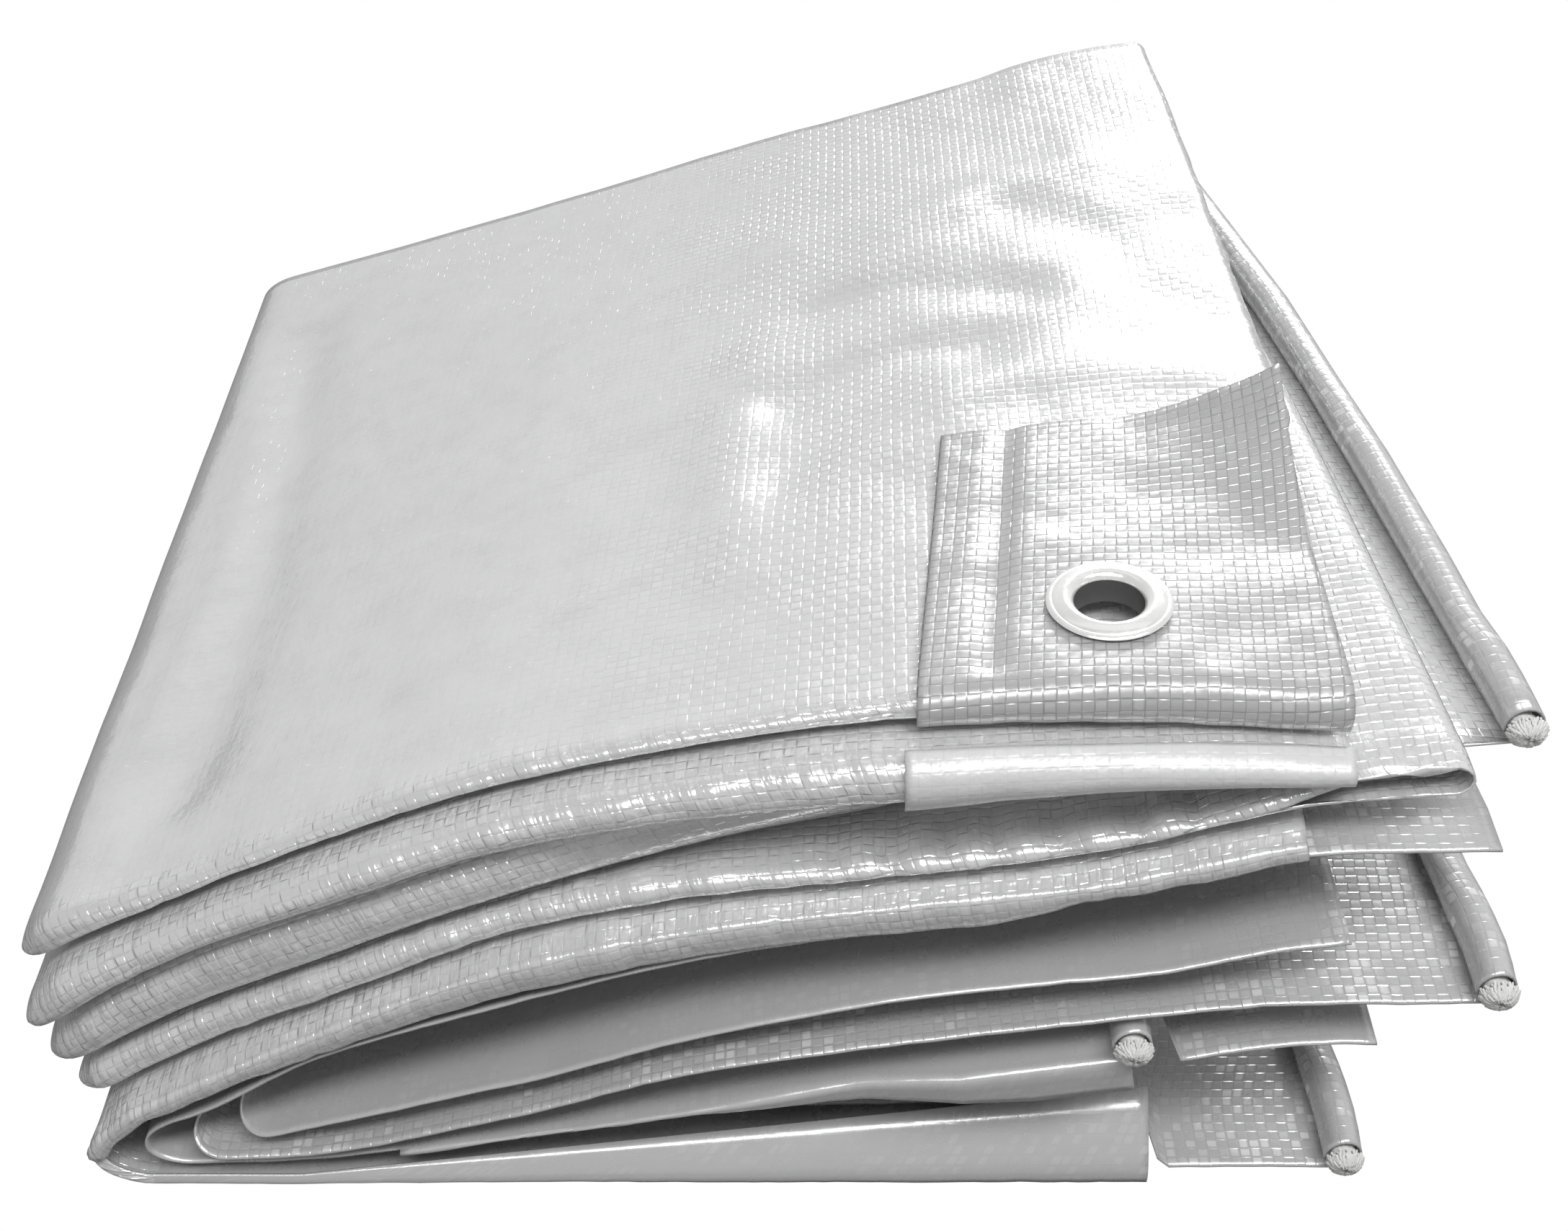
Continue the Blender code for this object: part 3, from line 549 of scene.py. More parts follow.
def closed_fold(cloth, name, fold):
    """A fold closed at its left and along its front. Gives the point numbers of its two limbs."""
    limbs = {}
    for side in (1, -1):
        stations = [(90.0 * step / ROLL_STEPS, 0.0) for step in range(ROLL_STEPS + 1)]
        if name == "a" and side > 0:
            rows = round(back_y(0.0) / TOP_ROW)
            stations += [(90.0, (step + 1) / rows) for step in range(rows)]
        else:
            stations += [(90.0, share) for share in DEPTHS]
        points = []
        for angle, share in stations:
            row = []
            for x, rise in columns_of(fold, right_end(fold, side, share)):
                corner = fold["corner"] * (1.0 - rise)
                row.append(roll_point(fold, x, side * angle, share, corner, rise))
            points.append(row)
        points = np.array(points)
        if name == "d":
            points = open_eye(fold, points, side)
        u, v = lengths(points)
        seed = 40 + 10 * "abcd".index(name)
        relief = fold_relief(u, v, seed, fold["crumple"])
        if name == "d" and side > 0:
            ridge = np.exp(-((v - 5.0) / 7.0) ** 2)
            relief = relief + SCALLOP_HEIGHT * scallops(u, points[:, :, 0]) * ridge
        if name == "a" and side > 0:
            relief = relief + top_relief(points) * np.clip((v - 6.0) / 14.0, 0.0, 1.0)
        ends_fade = np.clip(u / 8.0, 0.0, 1.0) * np.clip((u.max() - u) / 6.0, 0.15, 1.0)
        relief = relief * ends_fade
        if side < 0:
            relief = -relief * 0.3
            relief[0] = 0.0
        points = pushed(points, relief)
        numbers = cloth.add_all(points)
        if side < 0:
            closed = points[0, :, 0] <= (EYE_START if name == "d" else math.inf)
            numbers[0, closed] = limbs[1]["rows"][0, closed]
            together = min(len(numbers), ROLL_STEPS + 1)
            numbers[:together, 0] = limbs[1]["rows"][:together, 0]
        limbs[side] = dict(rows=numbers, u=u, v=side * v)
    for side in (1, -1):
        limb = limbs[side]
        skip = None
        if name == "a" and side > 0:
            skip = hole_faces(cloth.array(limb["rows"]))
        cloth.grid(limb["rows"], limb["u"], limb["v"], skip)
    if name == "d":
        right_up = limbs[1]["rows"][:ROLL_STEPS + 1 + len(DEPTHS), -1]
        right_low = limbs[-1]["rows"][:, -1]
        cloth.join(right_up, right_low, EYE_TURN, (1.0, 0.0, 0.0), 0.0)
    return limbs


def open_eye(fold, points, side):
    """Near its right end the fold's front flattens, and its end turns over like an eye."""
    for r in range(ROLL_STEPS + 1):
        for k in range(points.shape[1]):
            x, y, z = points[r, k]
            open_share = clamp((x - EYE_START) / EYE_FADE)
            if open_share == 0.0:
                continue
            top = through(AT_X, BOUNDARIES[fold["upper"]], x)
            low = through(AT_X, BOUNDARIES[fold["lower"]], x)
            flat_y = EYE_FRONT + (y - EYE_FRONT) * r / (ROLL_STEPS + 1.0)
            flat_z = (top + low) / 2.0 + side * ((top - low) / 2.0 - SHEET)
            points[r, k] = (x, blend(y, flat_y, open_share), blend(z, flat_z, open_share))
    return points


def hole_faces(points):
    """Which quads of the top sheet lie in the eyelet's hole, under its flanges."""
    x = (points[:-1, :-1, 0] + points[1:, 1:, 0]) / 2.0
    y = (points[:-1, :-1, 1] + points[1:, 1:, 1]) / 2.0
    return np.hypot(x - EYELET_X, y - EYELET_Y) < HOLE_RADIUS


def lip_size(fold, side, x):
    """How far the front edge is turned in, and how far that strip leans back."""
    if fold["lower"] == "t" and side > 0:
        return float(np.interp(x, HEM_X, HEM_HEIGHT)), 0.0
    strip = BOTTOM_LIP if fold["lower"] == "t" else INNER_LIP
    share = clamp((x - strip["left"]) / (strip["right"] - strip["left"]))
    return blend(*strip["size"], share), blend(*strip["lean"], share)


def open_fold(cloth, name, fold, lip):
    """A fold with free front edges, turned in where it has a lip."""
    fronts = [0.0, 1.5, 3.0, 5.5, 8.5, 11.0]
    if lip == "both":
        fronts = [1.0, 2.2, 4.0, 7.0, 11.0, 15.0, STEP_BACK - 2.0, STEP_BACK]
    stations = [(depth, 0.0) for depth in fronts]
    stations += [(fronts[-1], share) for share in DEPTHS[1:]]
    points = []
    for y_at_front, share in stations:
        ends = {1: right_end(fold, 1, share), -1: right_end(fold, -1, share)}
        if lip == "both" and y_at_front < STEP_BACK:
            ends[1] = SHORT_RIGHT
        upper = columns_of(fold, ends[1])
        lower = columns_of(fold, ends[-1])
        row = [open_point(fold, 1, column, y_at_front, share) for column in reversed(upper[1:])]
        row += [open_point(fold, -1, column, y_at_front, share) for column in lower]
        points.append(row)
    points = np.array(points)
    if lip != "none":
        points = np.concatenate([lip_rows(fold, lip, points[0]), points])
    u, v = lengths(points)
    v = v - v[len(points) - len(stations)]
    seed = 100 + 10 * "efghk".index(name)
    jagged = 0.9 if name == "e" else 0.22
    relief = fold_relief(u, v, seed, jagged)
    relief *= np.clip(u / 6.0, 0.2, 1.0) * np.clip((u.max() - u) / 6.0, 0.2, 1.0)
    if name == "e":
        relief[:, TURN_STEPS + FLAT_STEPS:] *= 0.15
    points = pushed(points, relief)
    numbers = cloth.add_all(points)
    middle = TURN_STEPS + FLAT_STEPS
    if lip == "lower":
        first = middle + TURN_STEPS + 20
        lips = len(points) - len(stations)
        cloth.grid(numbers[:lips + 1, first:], u[:lips + 1, first:], v[:lips + 1, first:])
        cloth.grid(numbers[lips:], u[lips:], v[lips:])
    else:
        cut = middle + TURN_STEPS if name == "e" else 0
        cloth.grid(numbers[:, :cut + 1], u[:, :cut + 1], v[:, :cut + 1])
        # From here on the fold takes the cloth painted darker for the shade inside the stack
        cloth.kind = max(cloth.kind, SHADED_INNER)
        cloth.grid(numbers[:, cut:], u[:, cut:], v[:, cut:])
    upper = numbers[:, :middle + 1][:, ::-1]
    lower = numbers[:, middle:]
    return {1: dict(rows=upper, v=v), -1: dict(rows=lower, v=v)}


def lip_rows(fold, lip, edge):
    """Rows in front of a front edge that turn towards the inside of the fold."""
    along = np.gradient(edge, axis=0)
    along /= np.maximum(np.linalg.norm(along, axis=1, keepdims=True), 1e-9)
    sign = -1.0 if lip == "lower" else 1.0
    inward = np.cross(along, np.array([0.0, sign, 0.0]))
    sizes = []
    middle = TURN_STEPS + FLAT_STEPS
    for place, point in enumerate(edge):
        sizes.append(lip_size(fold, 1 if place < middle else -1, point[0]))
    sizes = np.array(sizes)
    rows = []
    for share, (down, out) in zip(LIP_SHARES, HEM_SECTION):
        row = edge + inward * (sizes[:, :1] * share)
        row[:, 1] += sizes[:, 1] * share ** 1.5 - LIP_ROUND * min(1.0, share * 6.0)
        if lip == "both":
            hem = edge[:middle] + inward[:middle] * (sizes[:middle, :1] * down)
            hem[:, 1] += out
            row[:middle] = hem
        rows.append(row)
    return np.array(rows)


def tarp_surface():
    """All folds of the one sheet, joined along the back, and its ropes' middle lines."""
    cloth = Cloth()
    limbs = {}
    for name, fold in CLOSED_FOLDS.items():
        limbs[name] = closed_fold(cloth, name, fold)
    lips = {"e": "both", "f": "lower", "g": "none", "h": "none", "k": "none"}
    for name, fold in OPEN_FOLDS.items():
        cloth.kind = FOLD_KINDS[name]
        limbs[name] = open_fold(cloth, name, fold, lips[name])
    joins = (
        ("a", -1, "b", 1, -122.0), ("b", -1, "c", 1, -122.0), ("c", -1, "d", 1, -122.0),
        ("d", -1, "e", 1, -122.0), ("e", -1, "k", -1, -56.0), ("k", 1, "f", -1, -56.0),
        ("f", 1, "g", 1, -92.0), ("g", -1, "h", -1, -92.0),
    )
    for name, side, other, other_side, left in joins:
        start = limbs[name][side]["rows"][-1]
        end = limbs[other][other_side]["rows"][-1]
        first = next(k for k in range(len(start)) if cloth.points[start[k]][0] >= left)
        height = abs(cloth.points[start[-1]][2] - cloth.points[end[-1]][2])
        bulge = min(height / 2.0, JOIN_BULGE)
        cloth.join(start[first:], end[first:], bulge, (0.0, 1.0, 0.0), JOIN_PLACE)
    ropes = {}
    hems = {
        "hem_rope_top": ("a", 1, -1, HEM_SHARE * back_y(100.0)),
        "hem_rope_upper": ("e", 1, 1, STEP_BACK),
        "hem_rope_middle": ("g", -1, 1, 0.0),
        "hem_rope_inner": ("f", -1, 1, 0.0),
        "hem_rope_bottom": ("k", -1, 1, 0.0),
    }
    for rope, (name, side, curl, from_y) in hems.items():
        rows = limbs[name][side]["rows"]
        lips = len(LIP_SHARES) if name in ("e", "f") else 0
        edge = [number for number in rows[lips:, -1] if cloth.points[number][1] >= from_y - 0.01]
        cloth.hem(edge, curl)
        centres = cloth.array([edge])[0] + np.array([0.0, 0.0, curl * HEM_RADIUS])
        ropes[rope] = centres[NOSE_ROWS:] if curl < 0 else centres
    return cloth, ropes


def to_row(point):
    return ((point[0] - MIDDLE_X) * MM, (point[1] - MIDDLE_Y) * MM, point[2] * MM)


def mesh_object(name, points, faces, places, finish):
    """A shaded mesh with its places on the cloth, in metres, as its map."""
    mesh = bpy.data.meshes.new(name)
    mesh.from_pydata([to_row(point) for point in points], [], faces)
    mesh.materials.append(finish)
    layer = mesh.uv_layers.new(name="cloth")
    layer.data.foreach_set("uv", (np.array(places, np.float32) * MM).ravel())
    mesh.shade_smooth()
    made = bpy.data.objects.new(name, mesh)
    bpy.context.scene.collection.objects.link(made)
    work = bmesh.new()
    work.from_mesh(mesh)
    bmesh.ops.recalc_face_normals(work, faces=work.faces)
    work.to_mesh(mesh)
    work.free()
    return made


def thicken(made, thickness):
    solid = made.modifiers.new("Thickness", "SOLIDIFY")
    solid.thickness = thickness * MM
    solid.offset = 0.0
    solid.use_rim = True


def outward(fold, x, angle, share):
    """Direction away from the cloth on a closed fold's outer side."""
    across = roll_point(fold, x + 1.0, angle, share) - roll_point(fold, x - 1.0, angle, share)
    if share > 0.0 or angle == 90.0:
        along = roll_point(fold, x, 90.0, share + 0.01) - roll_point(fold, x, 90.0, share)
    else:
        along = roll_point(fold, x, angle + 1.0, 0.0) - roll_point(fold, x, angle - 1.0, 0.0)
    return across.cross(along).normalized()


def patch_points(fold, stations, left_edge, lift, steps):
    """A patch's middle surface on a closed fold."""
    off = SHEET / 2.0 + GAP + PATCH / 2.0
    points = []
    for angle, share in stations:
        probe = roll_point(fold, PATCH_RIGHT, angle, share)
        left = blend(left_edge[0], left_edge[1], clamp(probe.y / PATCH_BACK))
        row = []
        for step in range(steps + 1):
            x = blend(left, PATCH_RIGHT, step / steps)
            base = roll_point(fold, x, angle, share)
            point = base + outward(fold, x, angle, share) * off
            side = max(0.0, (x - LIFT_FROM[0]) / (PATCH_RIGHT - LIFT_FROM[0]))
            back = max(0.0, (base.y - LIFT_FROM[1]) / (PATCH_BACK - LIFT_FROM[1]))
            point.z += lift * (side * back) ** 1.5
            row.append(point)
        points.append(row)
    return np.array(points)


def patch_piece(name, points, relief, finish, hole):
    u, v = lengths(points)
    shown = pushed(points, relief(u, v))
    rows = np.arange(points.shape[0] * points.shape[1]).reshape(points.shape[:2])
    cloth = Cloth()
    cloth.add_all(shown)
    cloth.grid(rows, u, v, hole_faces(points) if hole else None)
    made = mesh_object(name, cloth.points, cloth.faces, cloth.places, finish)
    thicken(made, CLOTH)
    return made


def patches(cloth_finish, smooth_finish):
    top = CLOSED_FOLDS["a"]
    front = top["front"][2] + SHEET / 2.0 + top["roll"]
    most = (PATCH_BACK - front) / (back_y(PATCH_RIGHT) - front)
    stations = [(90.0, most * (1.0 - step / 56)) for step in range(56)]
    stations += [(blend(90.0, PATCH_ROLL_END, step / 18), 0.0) for step in range(19)]

    def corner_relief(u, v):
        height = 0.35 * value_noise(u, v, 15.0, 71) + 0.18 * value_noise(u, v, 6.0, 72)
        height += 0.9 * near_line(u, v, ((14.0, 0.0), (13.0, 80.0)), 3.0)
        away = np.hypot(u - 34.0, v - 64.0)
        return height * np.clip((away - 12.0) / 10.0, 0.0, 1.0)

    def lower_relief(u, v):
        return 0.25 * value_noise(u, v, 18.0, 75) + 0.12 * value_noise(u, v, 6.0, 76)

    points = patch_points(top, stations, PATCH_LEFT, PATCH_LIFT, 54)
    corner = patch_piece("corner_patch_cloth", points, corner_relief, cloth_finish, True)
    stations = [(blend(*LOWER_ROLL, step / 16), 0.0) for step in range(17)]
    points = patch_points(CLOSED_FOLDS["b"], stations, LOWER_LEFT, 0.0, 54)
    lower = patch_piece("lower_patch_cloth", points, lower_relief, smooth_finish, False)
    return corner, lower


def eyelet_place():
    """The eyelet's middle on the top sheet's middle surface, and its axis."""
    fold = CLOSED_FOLDS["a"]
    start = fold["front"][2] + SHEET / 2.0 + fold["roll"]
    share = (EYELET_Y - start) / (back_y(EYELET_X) - start)
    left = roll_point(fold, EYELET_X - FLANGE_RADIUS, 90.0, share)
    right = roll_point(fold, EYELET_X + FLANGE_RADIUS, 90.0, share)
    return (left + right) / 2.0, outward(fold, EYELET_X, 90.0, share)


def turned(name, profile, sides, finish):
    """A solid turned round the z axis from a closed profile of radius and height in millimetres."""
    angles = np.arange(sides) * 2.0 * math.pi / sides
    points = []
    for radius, height in profile:
        for angle in angles:
            points.append((radius * math.cos(angle) * MM, radius * math.sin(angle) * MM, height * MM))
    faces = []
    for ring in range(len(profile)):
        following = (ring + 1) % len(profile)
        for side in range(sides):
            other = (side + 1) % sides
            faces.append((ring * sides + side, ring * sides + other,
                          following * sides + other, following * sides + side))
    mesh = bpy.data.meshes.new(name)
    mesh.from_pydata(points, [], faces)
    mesh.materials.append(finish)
    mesh.shade_smooth()
    mesh.set_sharp_from_angle(angle=math.radians(40.0))
    made = bpy.data.objects.new(name, mesh)
    bpy.context.scene.collection.objects.link(made)
    return made


def eyelet(finish, throat):
    """The pressed eyelet: a domed flange with a fine rim, a round throat and a washer below."""
    place, axis = eyelet_place()
    patch_top = SHEET / 2.0 + GAP + PATCH + FIT / 2.0
    under = -SHEET / 2.0 - 2.0 * FIT
    top = patch_top + FIT + FLANGE_THICK
    throat_top = top - THROAT_ROUND
    profile = [(BORE_RADIUS, under - FLANGE_THICK), (BORE_RADIUS, throat_top)]
    for step in range(1, 8):
        angle = math.radians(90.0 * step / 7)
        out = 2.0 * (1.0 - math.cos(angle))
        profile.append((BORE_RADIUS + out, throat_top + (THROAT_ROUND + DOME) * math.sin(angle)))
    profile += [
        (FLANGE_RADIUS - 3.0, top + DOME * 0.85), (FLANGE_RADIUS - 2.0, top + DOME * 0.45),
        (FLANGE_RADIUS - 1.4, top + DOME * 0.1), (FLANGE_RADIUS - 1.15, top - 0.12),
        (FLANGE_RADIUS - 0.8, top - 0.05), (FLANGE_RADIUS - 0.25, top - 0.25),
        (FLANGE_RADIUS, top - 0.6), (FLANGE_RADIUS - 0.3, patch_top + FIT),
        (BARREL_RADIUS, patch_top + FIT), (BARREL_RADIUS, under),
        (LOWER_FLANGE_RADIUS, under), (LOWER_FLANGE_RADIUS, under - FLANGE_THICK),
    ]
    made = turned("eyelet_metal", profile, 96, finish)
    made.data.materials.append(throat)
    # The throat's faces take the dark metal: painted shade for the dim inside of the hole
    for face in made.data.polygons:
        centre = face.center / MM
        if math.hypot(centre.x, centre.y) < BORE_RADIUS + 0.3 and centre.z < top - 0.9:
            face.material_index = 1
    made.location = to_row(place)
    made.rotation_mode = "QUATERNION"
    made.rotation_quaternion = Vector((0.0, 0.0, 1.0)).rotation_difference(axis)
    return made


def add_knob(points, faces, places, tip, ahead, rng):
    """A cut end's fibres, each laid from near the middle of a rounded knob out to its rim."""
    for fibre in range(FIBRES):
        turn = fibre * GOLDEN_TURN
        start = math.sqrt((fibre + 0.5) / FIBRES)
        bent = rng.uniform(-0.5, 0.5)
        thick = rng.uniform(0.22, 0.42)
        first = len(points)
        for step in range(FIBRE_STEPS):
            share = step / (FIBRE_STEPS - 1.0)
            along = start * (0.15 + 0.85 * (1.0 - share)) * math.pi / 2.0
            around = turn + bent * share
            radius = KNOB_RADIUS * math.sin(along) * rng.uniform(0.94, 1.04)
            out = ahead * (KNOB_LENGTH * math.cos(along) - KNOB_BACK)
            across, up = radius * math.cos(around), KNOB_FLAT * radius * math.sin(around)
            middle = tip + np.array([across, out, up])
            for side in range(FIBRE_SIDES):
                angle = 2.0 * math.pi * side / FIBRE_SIDES
                ring = np.array([math.cos(angle), 0.3 * math.sin(angle), math.sin(angle)])
                points.append(tuple(middle + thick * ring))
        for step in range(FIBRE_STEPS - 1):
            a, b = first + step * FIBRE_SIDES, first + (step + 1) * FIBRE_SIDES
            for side in range(FIBRE_SIDES):
                other = (side + 1) % FIBRE_SIDES
                faces.append((a + side, b + side, b + other, a + other))
                places.extend([(0.0, 0.0)] * 4)
        last = first + (FIBRE_STEPS - 1) * FIBRE_SIDES
        faces.append(tuple(range(last, last + FIBRE_SIDES)))
        places.extend([(0.0, 0.0)] * FIBRE_SIDES)


def rope(name, centres, front_end, finish):
    """A twisted rope along its hem's middle, with a frayed cut end where it shows."""
    path = centres.copy()
    if front_end:
        path[:, 1] -= ROPE_OUT
    else:
        path[-1, 1] += ROPE_OUT
    run = np.concatenate(([0.0], np.cumsum(np.linalg.norm(np.diff(path, axis=0), axis=1))))
    count = int(run[-1] / ROPE_STEP)
    at = np.linspace(0.0, run[-1], count)
    path = np.stack([np.interp(at, run, path[:, i]) for i in range(3)], axis=1)
    points, faces, places = [], [], []
    for (x, y, z), s in zip(path, at):
        for side in range(ROPE_SIDES):
            angle = 2.0 * math.pi * side / ROPE_SIDES
            strand = abs(math.sin(1.5 * (angle + s / STRAND_PITCH)))
            radius = ROPE_RADIUS * (1.0 - STRAND_DEPTH + STRAND_DEPTH * strand)
            points.append((x + radius * math.cos(angle), y, z + radius * math.sin(angle)))
    for r in range(count - 1):
        a, b = r * ROPE_SIDES, (r + 1) * ROPE_SIDES
        for side in range(ROPE_SIDES):
            other = (side + 1) % ROPE_SIDES
            faces.append((a + side, b + side, b + other, a + other))
            for i, j in ((r, side), (r + 1, side), (r + 1, side + 1), (r, side + 1)):
                places.append((j, at[i]))
    for end, flip in ((0, False), (count - 1, True)):
        ring = list(range(end * ROPE_SIDES, (end + 1) * ROPE_SIDES))
        faces.append(tuple(reversed(ring)) if flip else tuple(ring))
        places.extend([(0.0, 0.0)] * ROPE_SIDES)
    tip, ahead = (path[0], -1.0) if front_end else (path[-1], 1.0)
    add_knob(points, faces, places, tip, ahead, np.random.default_rng(len(name)))
    return mesh_object(name + "_fibre", points, faces, places, finish)


class Nodes:
    """Short calls for the nodes of a tree."""

    def __init__(self, tree):
        self.tree = tree

    def node(self, kind, **values):
        made = self.tree.nodes.new(kind)
        for key, value in values.items():
            setattr(made, key, value)
        return made

    def feed(self, socket, value):
        if isinstance(value, (int, float, tuple)):
            socket.default_value = value
        else:
            self.tree.links.new(value, socket)

    def math(self, kind, *values):
        made = self.node("ShaderNodeMath", operation=kind)
        for socket, value in zip(made.inputs, values):
            self.feed(socket, value)
        return made.outputs[0]

    def times(self, first, *others):
        for other in others:
            first = self.math("MULTIPLY", first, other)
        return first

    def mixed(self, share, first, second):
        made = self.node("ShaderNodeMix", data_type="RGBA")
        self.feed(made.inputs["Factor"], share)
        self.feed(made.inputs["A"], first)
        self.feed(made.inputs["B"], second)
        return made.outputs["Result"]

    def place(self, pitch):
        """The place on the cloth, and the same counted in tapes: across and along."""
        cloth = self.node("ShaderNodeUVMap", uv_map="cloth")
        split = self.node("ShaderNodeSeparateXYZ")
        self.tree.links.new(cloth.outputs[0], split.inputs[0])
        return cloth.outputs[0], [self.math("DIVIDE", split.outputs[i], pitch * MM) for i in range(2)]

    def noise(self, where, scale, detail=2.0, rough=0.5, stretch=(1.0, 1.0, 1.0)):
        mapping = self.node("ShaderNodeMapping")
        self.tree.links.new(where, mapping.inputs["Vector"])
        mapping.inputs["Scale"].default_value = stretch
        made = self.node("ShaderNodeTexNoise")
        self.tree.links.new(mapping.outputs[0], made.inputs["Vector"])
        made.inputs["Scale"].default_value = scale
        made.inputs["Detail"].default_value = detail
        made.inputs["Roughness"].default_value = rough
        return made.outputs["Fac"]

    def ramp(self, value, low, high, to_low=0.0, to_high=1.0, kind="SMOOTHSTEP"):
        made = self.node("ShaderNodeMapRange", interpolation_type=kind)
        for socket, number in zip(made.inputs, (value, low, high, to_low, to_high)):
            self.feed(socket, number)
        return made.outputs[0]

    def bump(self, height, distance, strength, before=None):
        made = self.node("ShaderNodeBump")
        made.inputs["Distance"].default_value = distance
        made.inputs["Strength"].default_value = strength
        self.tree.links.new(height, made.inputs["Height"])
        if before is not None:
            self.tree.links.new(before, made.inputs["Normal"])
        return made.outputs[0]


def material(name):
    made = bpy.data.materials.new(name)
    made.use_nodes = True
    return made, Nodes(made.node_tree), made.node_tree.nodes["Principled BSDF"].inputs


def woven(name, light, dark, roughness, metallic, weave, crumple, lines, painted_glints, coat,
          smooth_until=None, pleated=False):
    """Laminated woven tape: flat tapes over and under each other, beneath a glossy film, with painted
    highlights: dashes of tape lightened towards white in the base colour.
    """
    made, n, inputs = material(name)
    shown = 1.0
    if smooth_until:
        place = n.node("ShaderNodeSeparateXYZ")
        n.feed(place.inputs[0], n.node("ShaderNodeTexCoord").outputs["Object"])
        shown = n.ramp(place.outputs[0], *smooth_until, HARDLY, 1.0)
    if pleated:
        front = n.ramp(place.outputs[1], *PLEATS_UNTIL, 1.0, HARDLY)
        shown = n.math("MAXIMUM", shown, front)
    where, (across, along) = n.place(TAPE)
    column, row = n.math("FLOOR", across), n.math("FLOOR", along)
    over = n.math("FLOORED_MODULO", n.math("ADD", column, row), 2.0)
    side_u = n.math("ABSOLUTE", n.math("SUBTRACT", n.math("FRACT", across), 0.5))
    side_v = n.math("ABSOLUTE", n.math("SUBTRACT", n.math("FRACT", along), 0.5))
    edge_u = n.ramp(side_u, 0.36, 0.5, 1.0, 0.0)
    edge_v = n.ramp(side_v, 0.36, 0.5, 1.0, 0.0)
    arch_u = n.math("COSINE", n.times(side_u, math.pi))
    arch_v = n.math("COSINE", n.times(side_v, math.pi))
    warp = n.times(edge_u, n.math("MULTIPLY_ADD", arch_v, 0.55, 0.45))
    weft = n.times(edge_v, n.math("MULTIPLY_ADD", arch_u, 0.55, 0.45))
    tapes = n.math("ADD", n.times(over, warp), n.times(n.math("SUBTRACT", 1.0, over), weft))
    joined = n.node("ShaderNodeCombineXYZ")
    n.feed(joined.inputs[0], column)
    n.feed(joined.inputs[1], row)
    chances = n.node("ShaderNodeTexWhiteNoise", noise_dimensions="2D")
    n.feed(chances.inputs["Vector"], joined.outputs[0])
    chance = chances.outputs["Value"]
    tilt = n.times(n.math("SUBTRACT", chance, 0.5), n.math("FRACT", across), 1.1)
    patchy = n.noise(where, 45.0, 3.0, 0.6)
    height = n.times(n.math("ADD", tapes, tilt), n.ramp(patchy, 0.3, 0.7, 0.45, 1.0), shown)
    fine = n.noise(where, 320.0, 4.0, 0.6)
    film = n.noise(where, 90.0, 4.0, 0.65)
    normal = n.bump(film, FILM_DEPTH, crumple)
    if pleated:
        fold = n.noise(where, 150.0, 3.0, 0.55, (1.0, 0.3, 1.0))
        sharp = n.math("ABSOLUTE", n.math("SUBTRACT", fold, 0.5))
        bent = n.noise(where, 120.0, 4.0, 0.6, (1.0, 0.5, 1.0))
        pleats = n.math("ADD", n.times(sharp, 1.6), bent)
        normal = n.bump(n.times(pleats, front), PLEAT_DEPTH, 0.5, normal)
    normal = n.bump(height, TAPE_DEPTH, weave, normal)
    normal = n.bump(fine, FINE_DEPTH, 0.35 * crumple, normal)
    gap = n.math("MAXIMUM", n.ramp(side_u, 0.44, 0.5), n.ramp(side_v, 0.44, 0.5))
    shade = n.times(n.math("ADD", n.times(gap, lines), n.times(chance, 0.10)), shown)
    shade = n.math("ADD", shade, n.times(n.ramp(film, 0.35, 0.75), 0.15))
    colour = n.mixed(shade, (light, light, light * 1.005, 1.0), (dark, dark, dark * 1.01, 1.0))
    # Painted highlights: lit-looking dashes on some tapes, mixed towards white in the base colour where
    # the weave shows
    bright = n.times(n.ramp(chance, 0.45, 0.85), n.ramp(tapes, 0.55, 0.85), n.ramp(patchy, 0.40, 0.58))
    colour = n.mixed(n.times(bright, painted_glints, shown), colour, (1.0, 1.0, 1.0, 1.0))
    rough = n.ramp(film, 0.3, 0.8, roughness * 0.8, roughness * 1.3)
    for socket, value in (("Normal", normal), ("Coat Normal", normal), ("Base Color", colour),
                          ("Roughness", rough), ("Metallic", metallic), ("Coat Weight", coat),
                          ("Coat Roughness", 0.10)):
        n.feed(inputs[socket], value)
    return made


def metal_finish(name, light, roughness):
    made, n, inputs = material(name)
    where = n.node("ShaderNodeTexCoord").outputs["Object"]
    scuffs = n.noise(where, 700.0, 4.0, 0.7, (1.0, 1.0, 0.2))
    n.feed(inputs["Normal"], n.bump(scuffs, 0.00005, 0.25))
    n.feed(inputs["Roughness"], n.ramp(scuffs, 0.3, 0.7, roughness, roughness + 0.14))
    n.feed(inputs["Base Color"], (light, light, light * 0.99, 1.0))
    n.feed(inputs["Metallic"], 0.45)
    return made


def rope_finish():
    made, n, inputs = material("braided rope fibre")
    where = n.node("ShaderNodeTexCoord").outputs["Object"]
    fibre = n.noise(where, 900.0, 5.0, 0.7, (1.0, 0.25, 1.0))
    n.feed(inputs["Normal"], n.bump(fibre, 0.0004, 0.6))
    n.feed(inputs["Base Color"], n.mixed(fibre, (0.50, 0.50, 0.49, 1.0), (0.95, 0.95, 0.93, 1.0)))
    n.feed(inputs["Roughness"], 0.6)
    return made


def area_light(name, place, target, size, power):
    data = bpy.data.lights.new(name, "AREA")
    data.shape = "RECTANGLE"
    data.size, data.size_y = size
    data.energy = power
    made = bpy.data.objects.new(name, data)
    made.location = place
    made.rotation_euler = (Vector(target) - Vector(place)).to_track_quat("-Z", "Y").to_euler()
    bpy.context.scene.collection.objects.link(made)
    return made


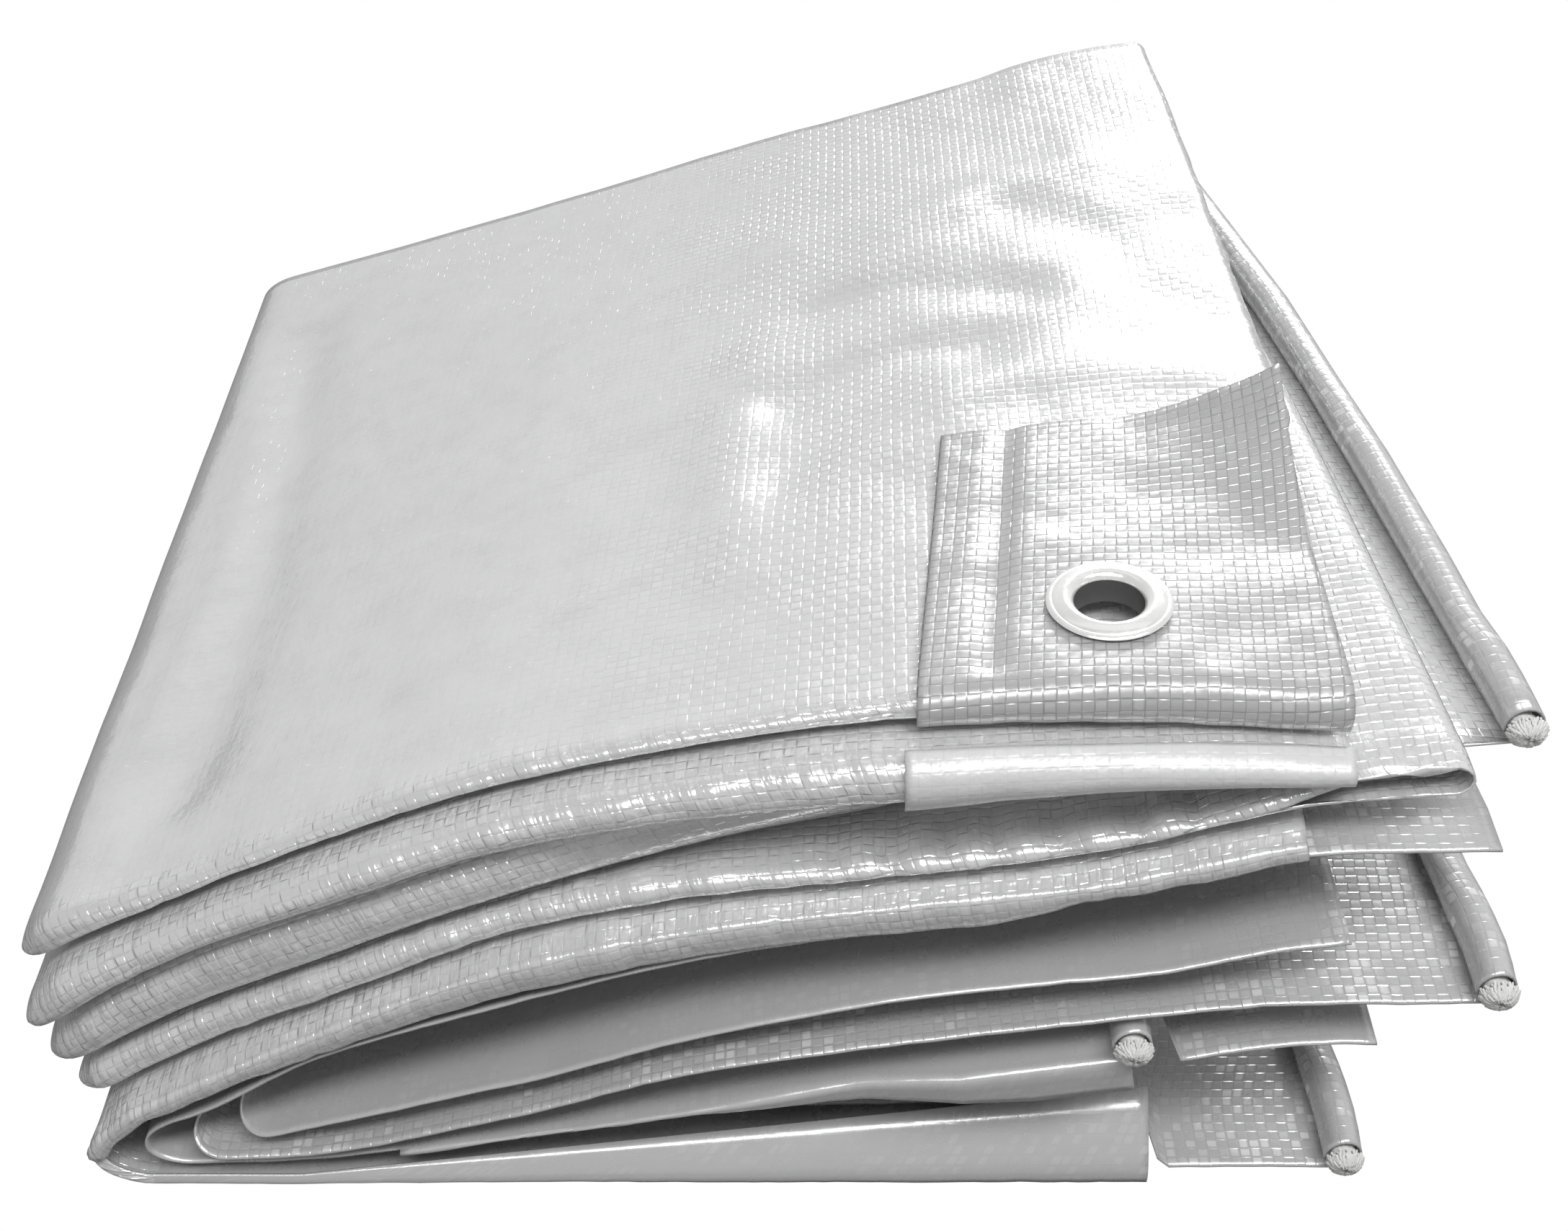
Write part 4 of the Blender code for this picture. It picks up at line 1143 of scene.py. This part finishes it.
def studio():
    """A bright studio: white at and below the horizon, softer above, with the soft lights of LIGHTS."""
    scene = bpy.context.scene
    scene.view_settings.view_transform = "Standard"
    world = bpy.data.worlds.new("studio")
    scene.world = world
    world.use_nodes = True
    n = Nodes(world.node_tree)
    split = n.node("ShaderNodeSeparateXYZ")
    n.feed(split.inputs[0], n.node("ShaderNodeTexCoord").outputs["Generated"])
    back, up = split.outputs[1:]
    backward = n.ramp(back, *SKY_BACKWARD, "LINEAR")
    horizon = n.ramp(up, *SKY_HORIZON, backward, "LINEAR")
    high = n.ramp(up, *SKY_HIGH, "LINEAR")
    sky = world.node_tree.nodes["Background"]
    n.feed(sky.inputs["Strength"], n.times(horizon, high))
    n.feed(sky.inputs["Color"], (1.0, 1.0, 1.0, 1.0))
    for name, (place, target, size, power) in LIGHTS.items():
        area_light(name, place, target, size, power)


def floor():
    """The surface the tarp lies on. It isn't seen itself and gives back a little light."""
    mesh = bpy.data.meshes.new("floor")
    corners = [(x * FLOOR_HALF, y * FLOOR_HALF, 0.0) for x, y in ((-1, -1), (1, -1), (1, 1), (-1, 1))]
    mesh.from_pydata(corners, [], [(0, 1, 2, 3)])
    finish, n, inputs = material("studio table")
    n.feed(inputs["Base Color"], (FLOOR_GREY, FLOOR_GREY, FLOOR_GREY, 1.0))
    n.feed(inputs["Roughness"], 0.8)
    mesh.materials.append(finish)
    made = bpy.data.objects.new("floor", mesh)
    made.visible_camera = False
    bpy.context.scene.collection.objects.link(made)


def camera():
    data = bpy.data.cameras.new("camera")
    data.lens = CAMERA_LENS
    data.sensor_width = SENSOR
    made = bpy.data.objects.new("camera", data)
    made.location = to_row(CAMERA)
    made.rotation_euler = (math.radians(90.0 - CAMERA_PITCH), 0.0, 0.0)
    bpy.context.scene.collection.objects.link(made)
    bpy.context.scene.camera = made


def main():
    camera()
    studio()
    floor()
    looks = [woven(name, **look) for name, look in LOOKS.items()]
    # inner and dashed are the silver cloth painted darker, standing in for the shade inside the folds
    outer, inner, dashed, patch_cloth, smooth_cloth = looks
    cloth, ropes = tarp_surface()
    sheet = mesh_object("tarp_cloth", cloth.points, cloth.faces, cloth.places, outer)
    sheet.data.materials.append(inner)
    sheet.data.materials.append(dashed)
    sheet.data.polygons.foreach_set("material_index", cloth.kinds)
    thicken(sheet, CLOTH)
    corner, lower = patches(patch_cloth, smooth_cloth)
    pressed = metal_finish("pressed eyelet metal", 0.93, 0.16)
    # The throat's metal is painted dark, standing in for the shade inside the hole
    metal = eyelet(pressed, metal_finish("eyelet throat painted in shade", 0.16, 0.35))
    fibre = rope_finish()
    dressed = [(rope(name, centres, name != "hem_rope_top", fibre), name, "rope")
               for name, centres in ropes.items()]
    dressed += [(sheet, "tarp_sheet", "woven_cloth"), (corner, "corner_patch", "patch_cloth"),
                (lower, "lower_patch", "patch_cloth"), (metal, "eyelet", "eyelet_metal")]
    for made, node, slot in dressed:
        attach(made, "root")
        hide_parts(node)


main()
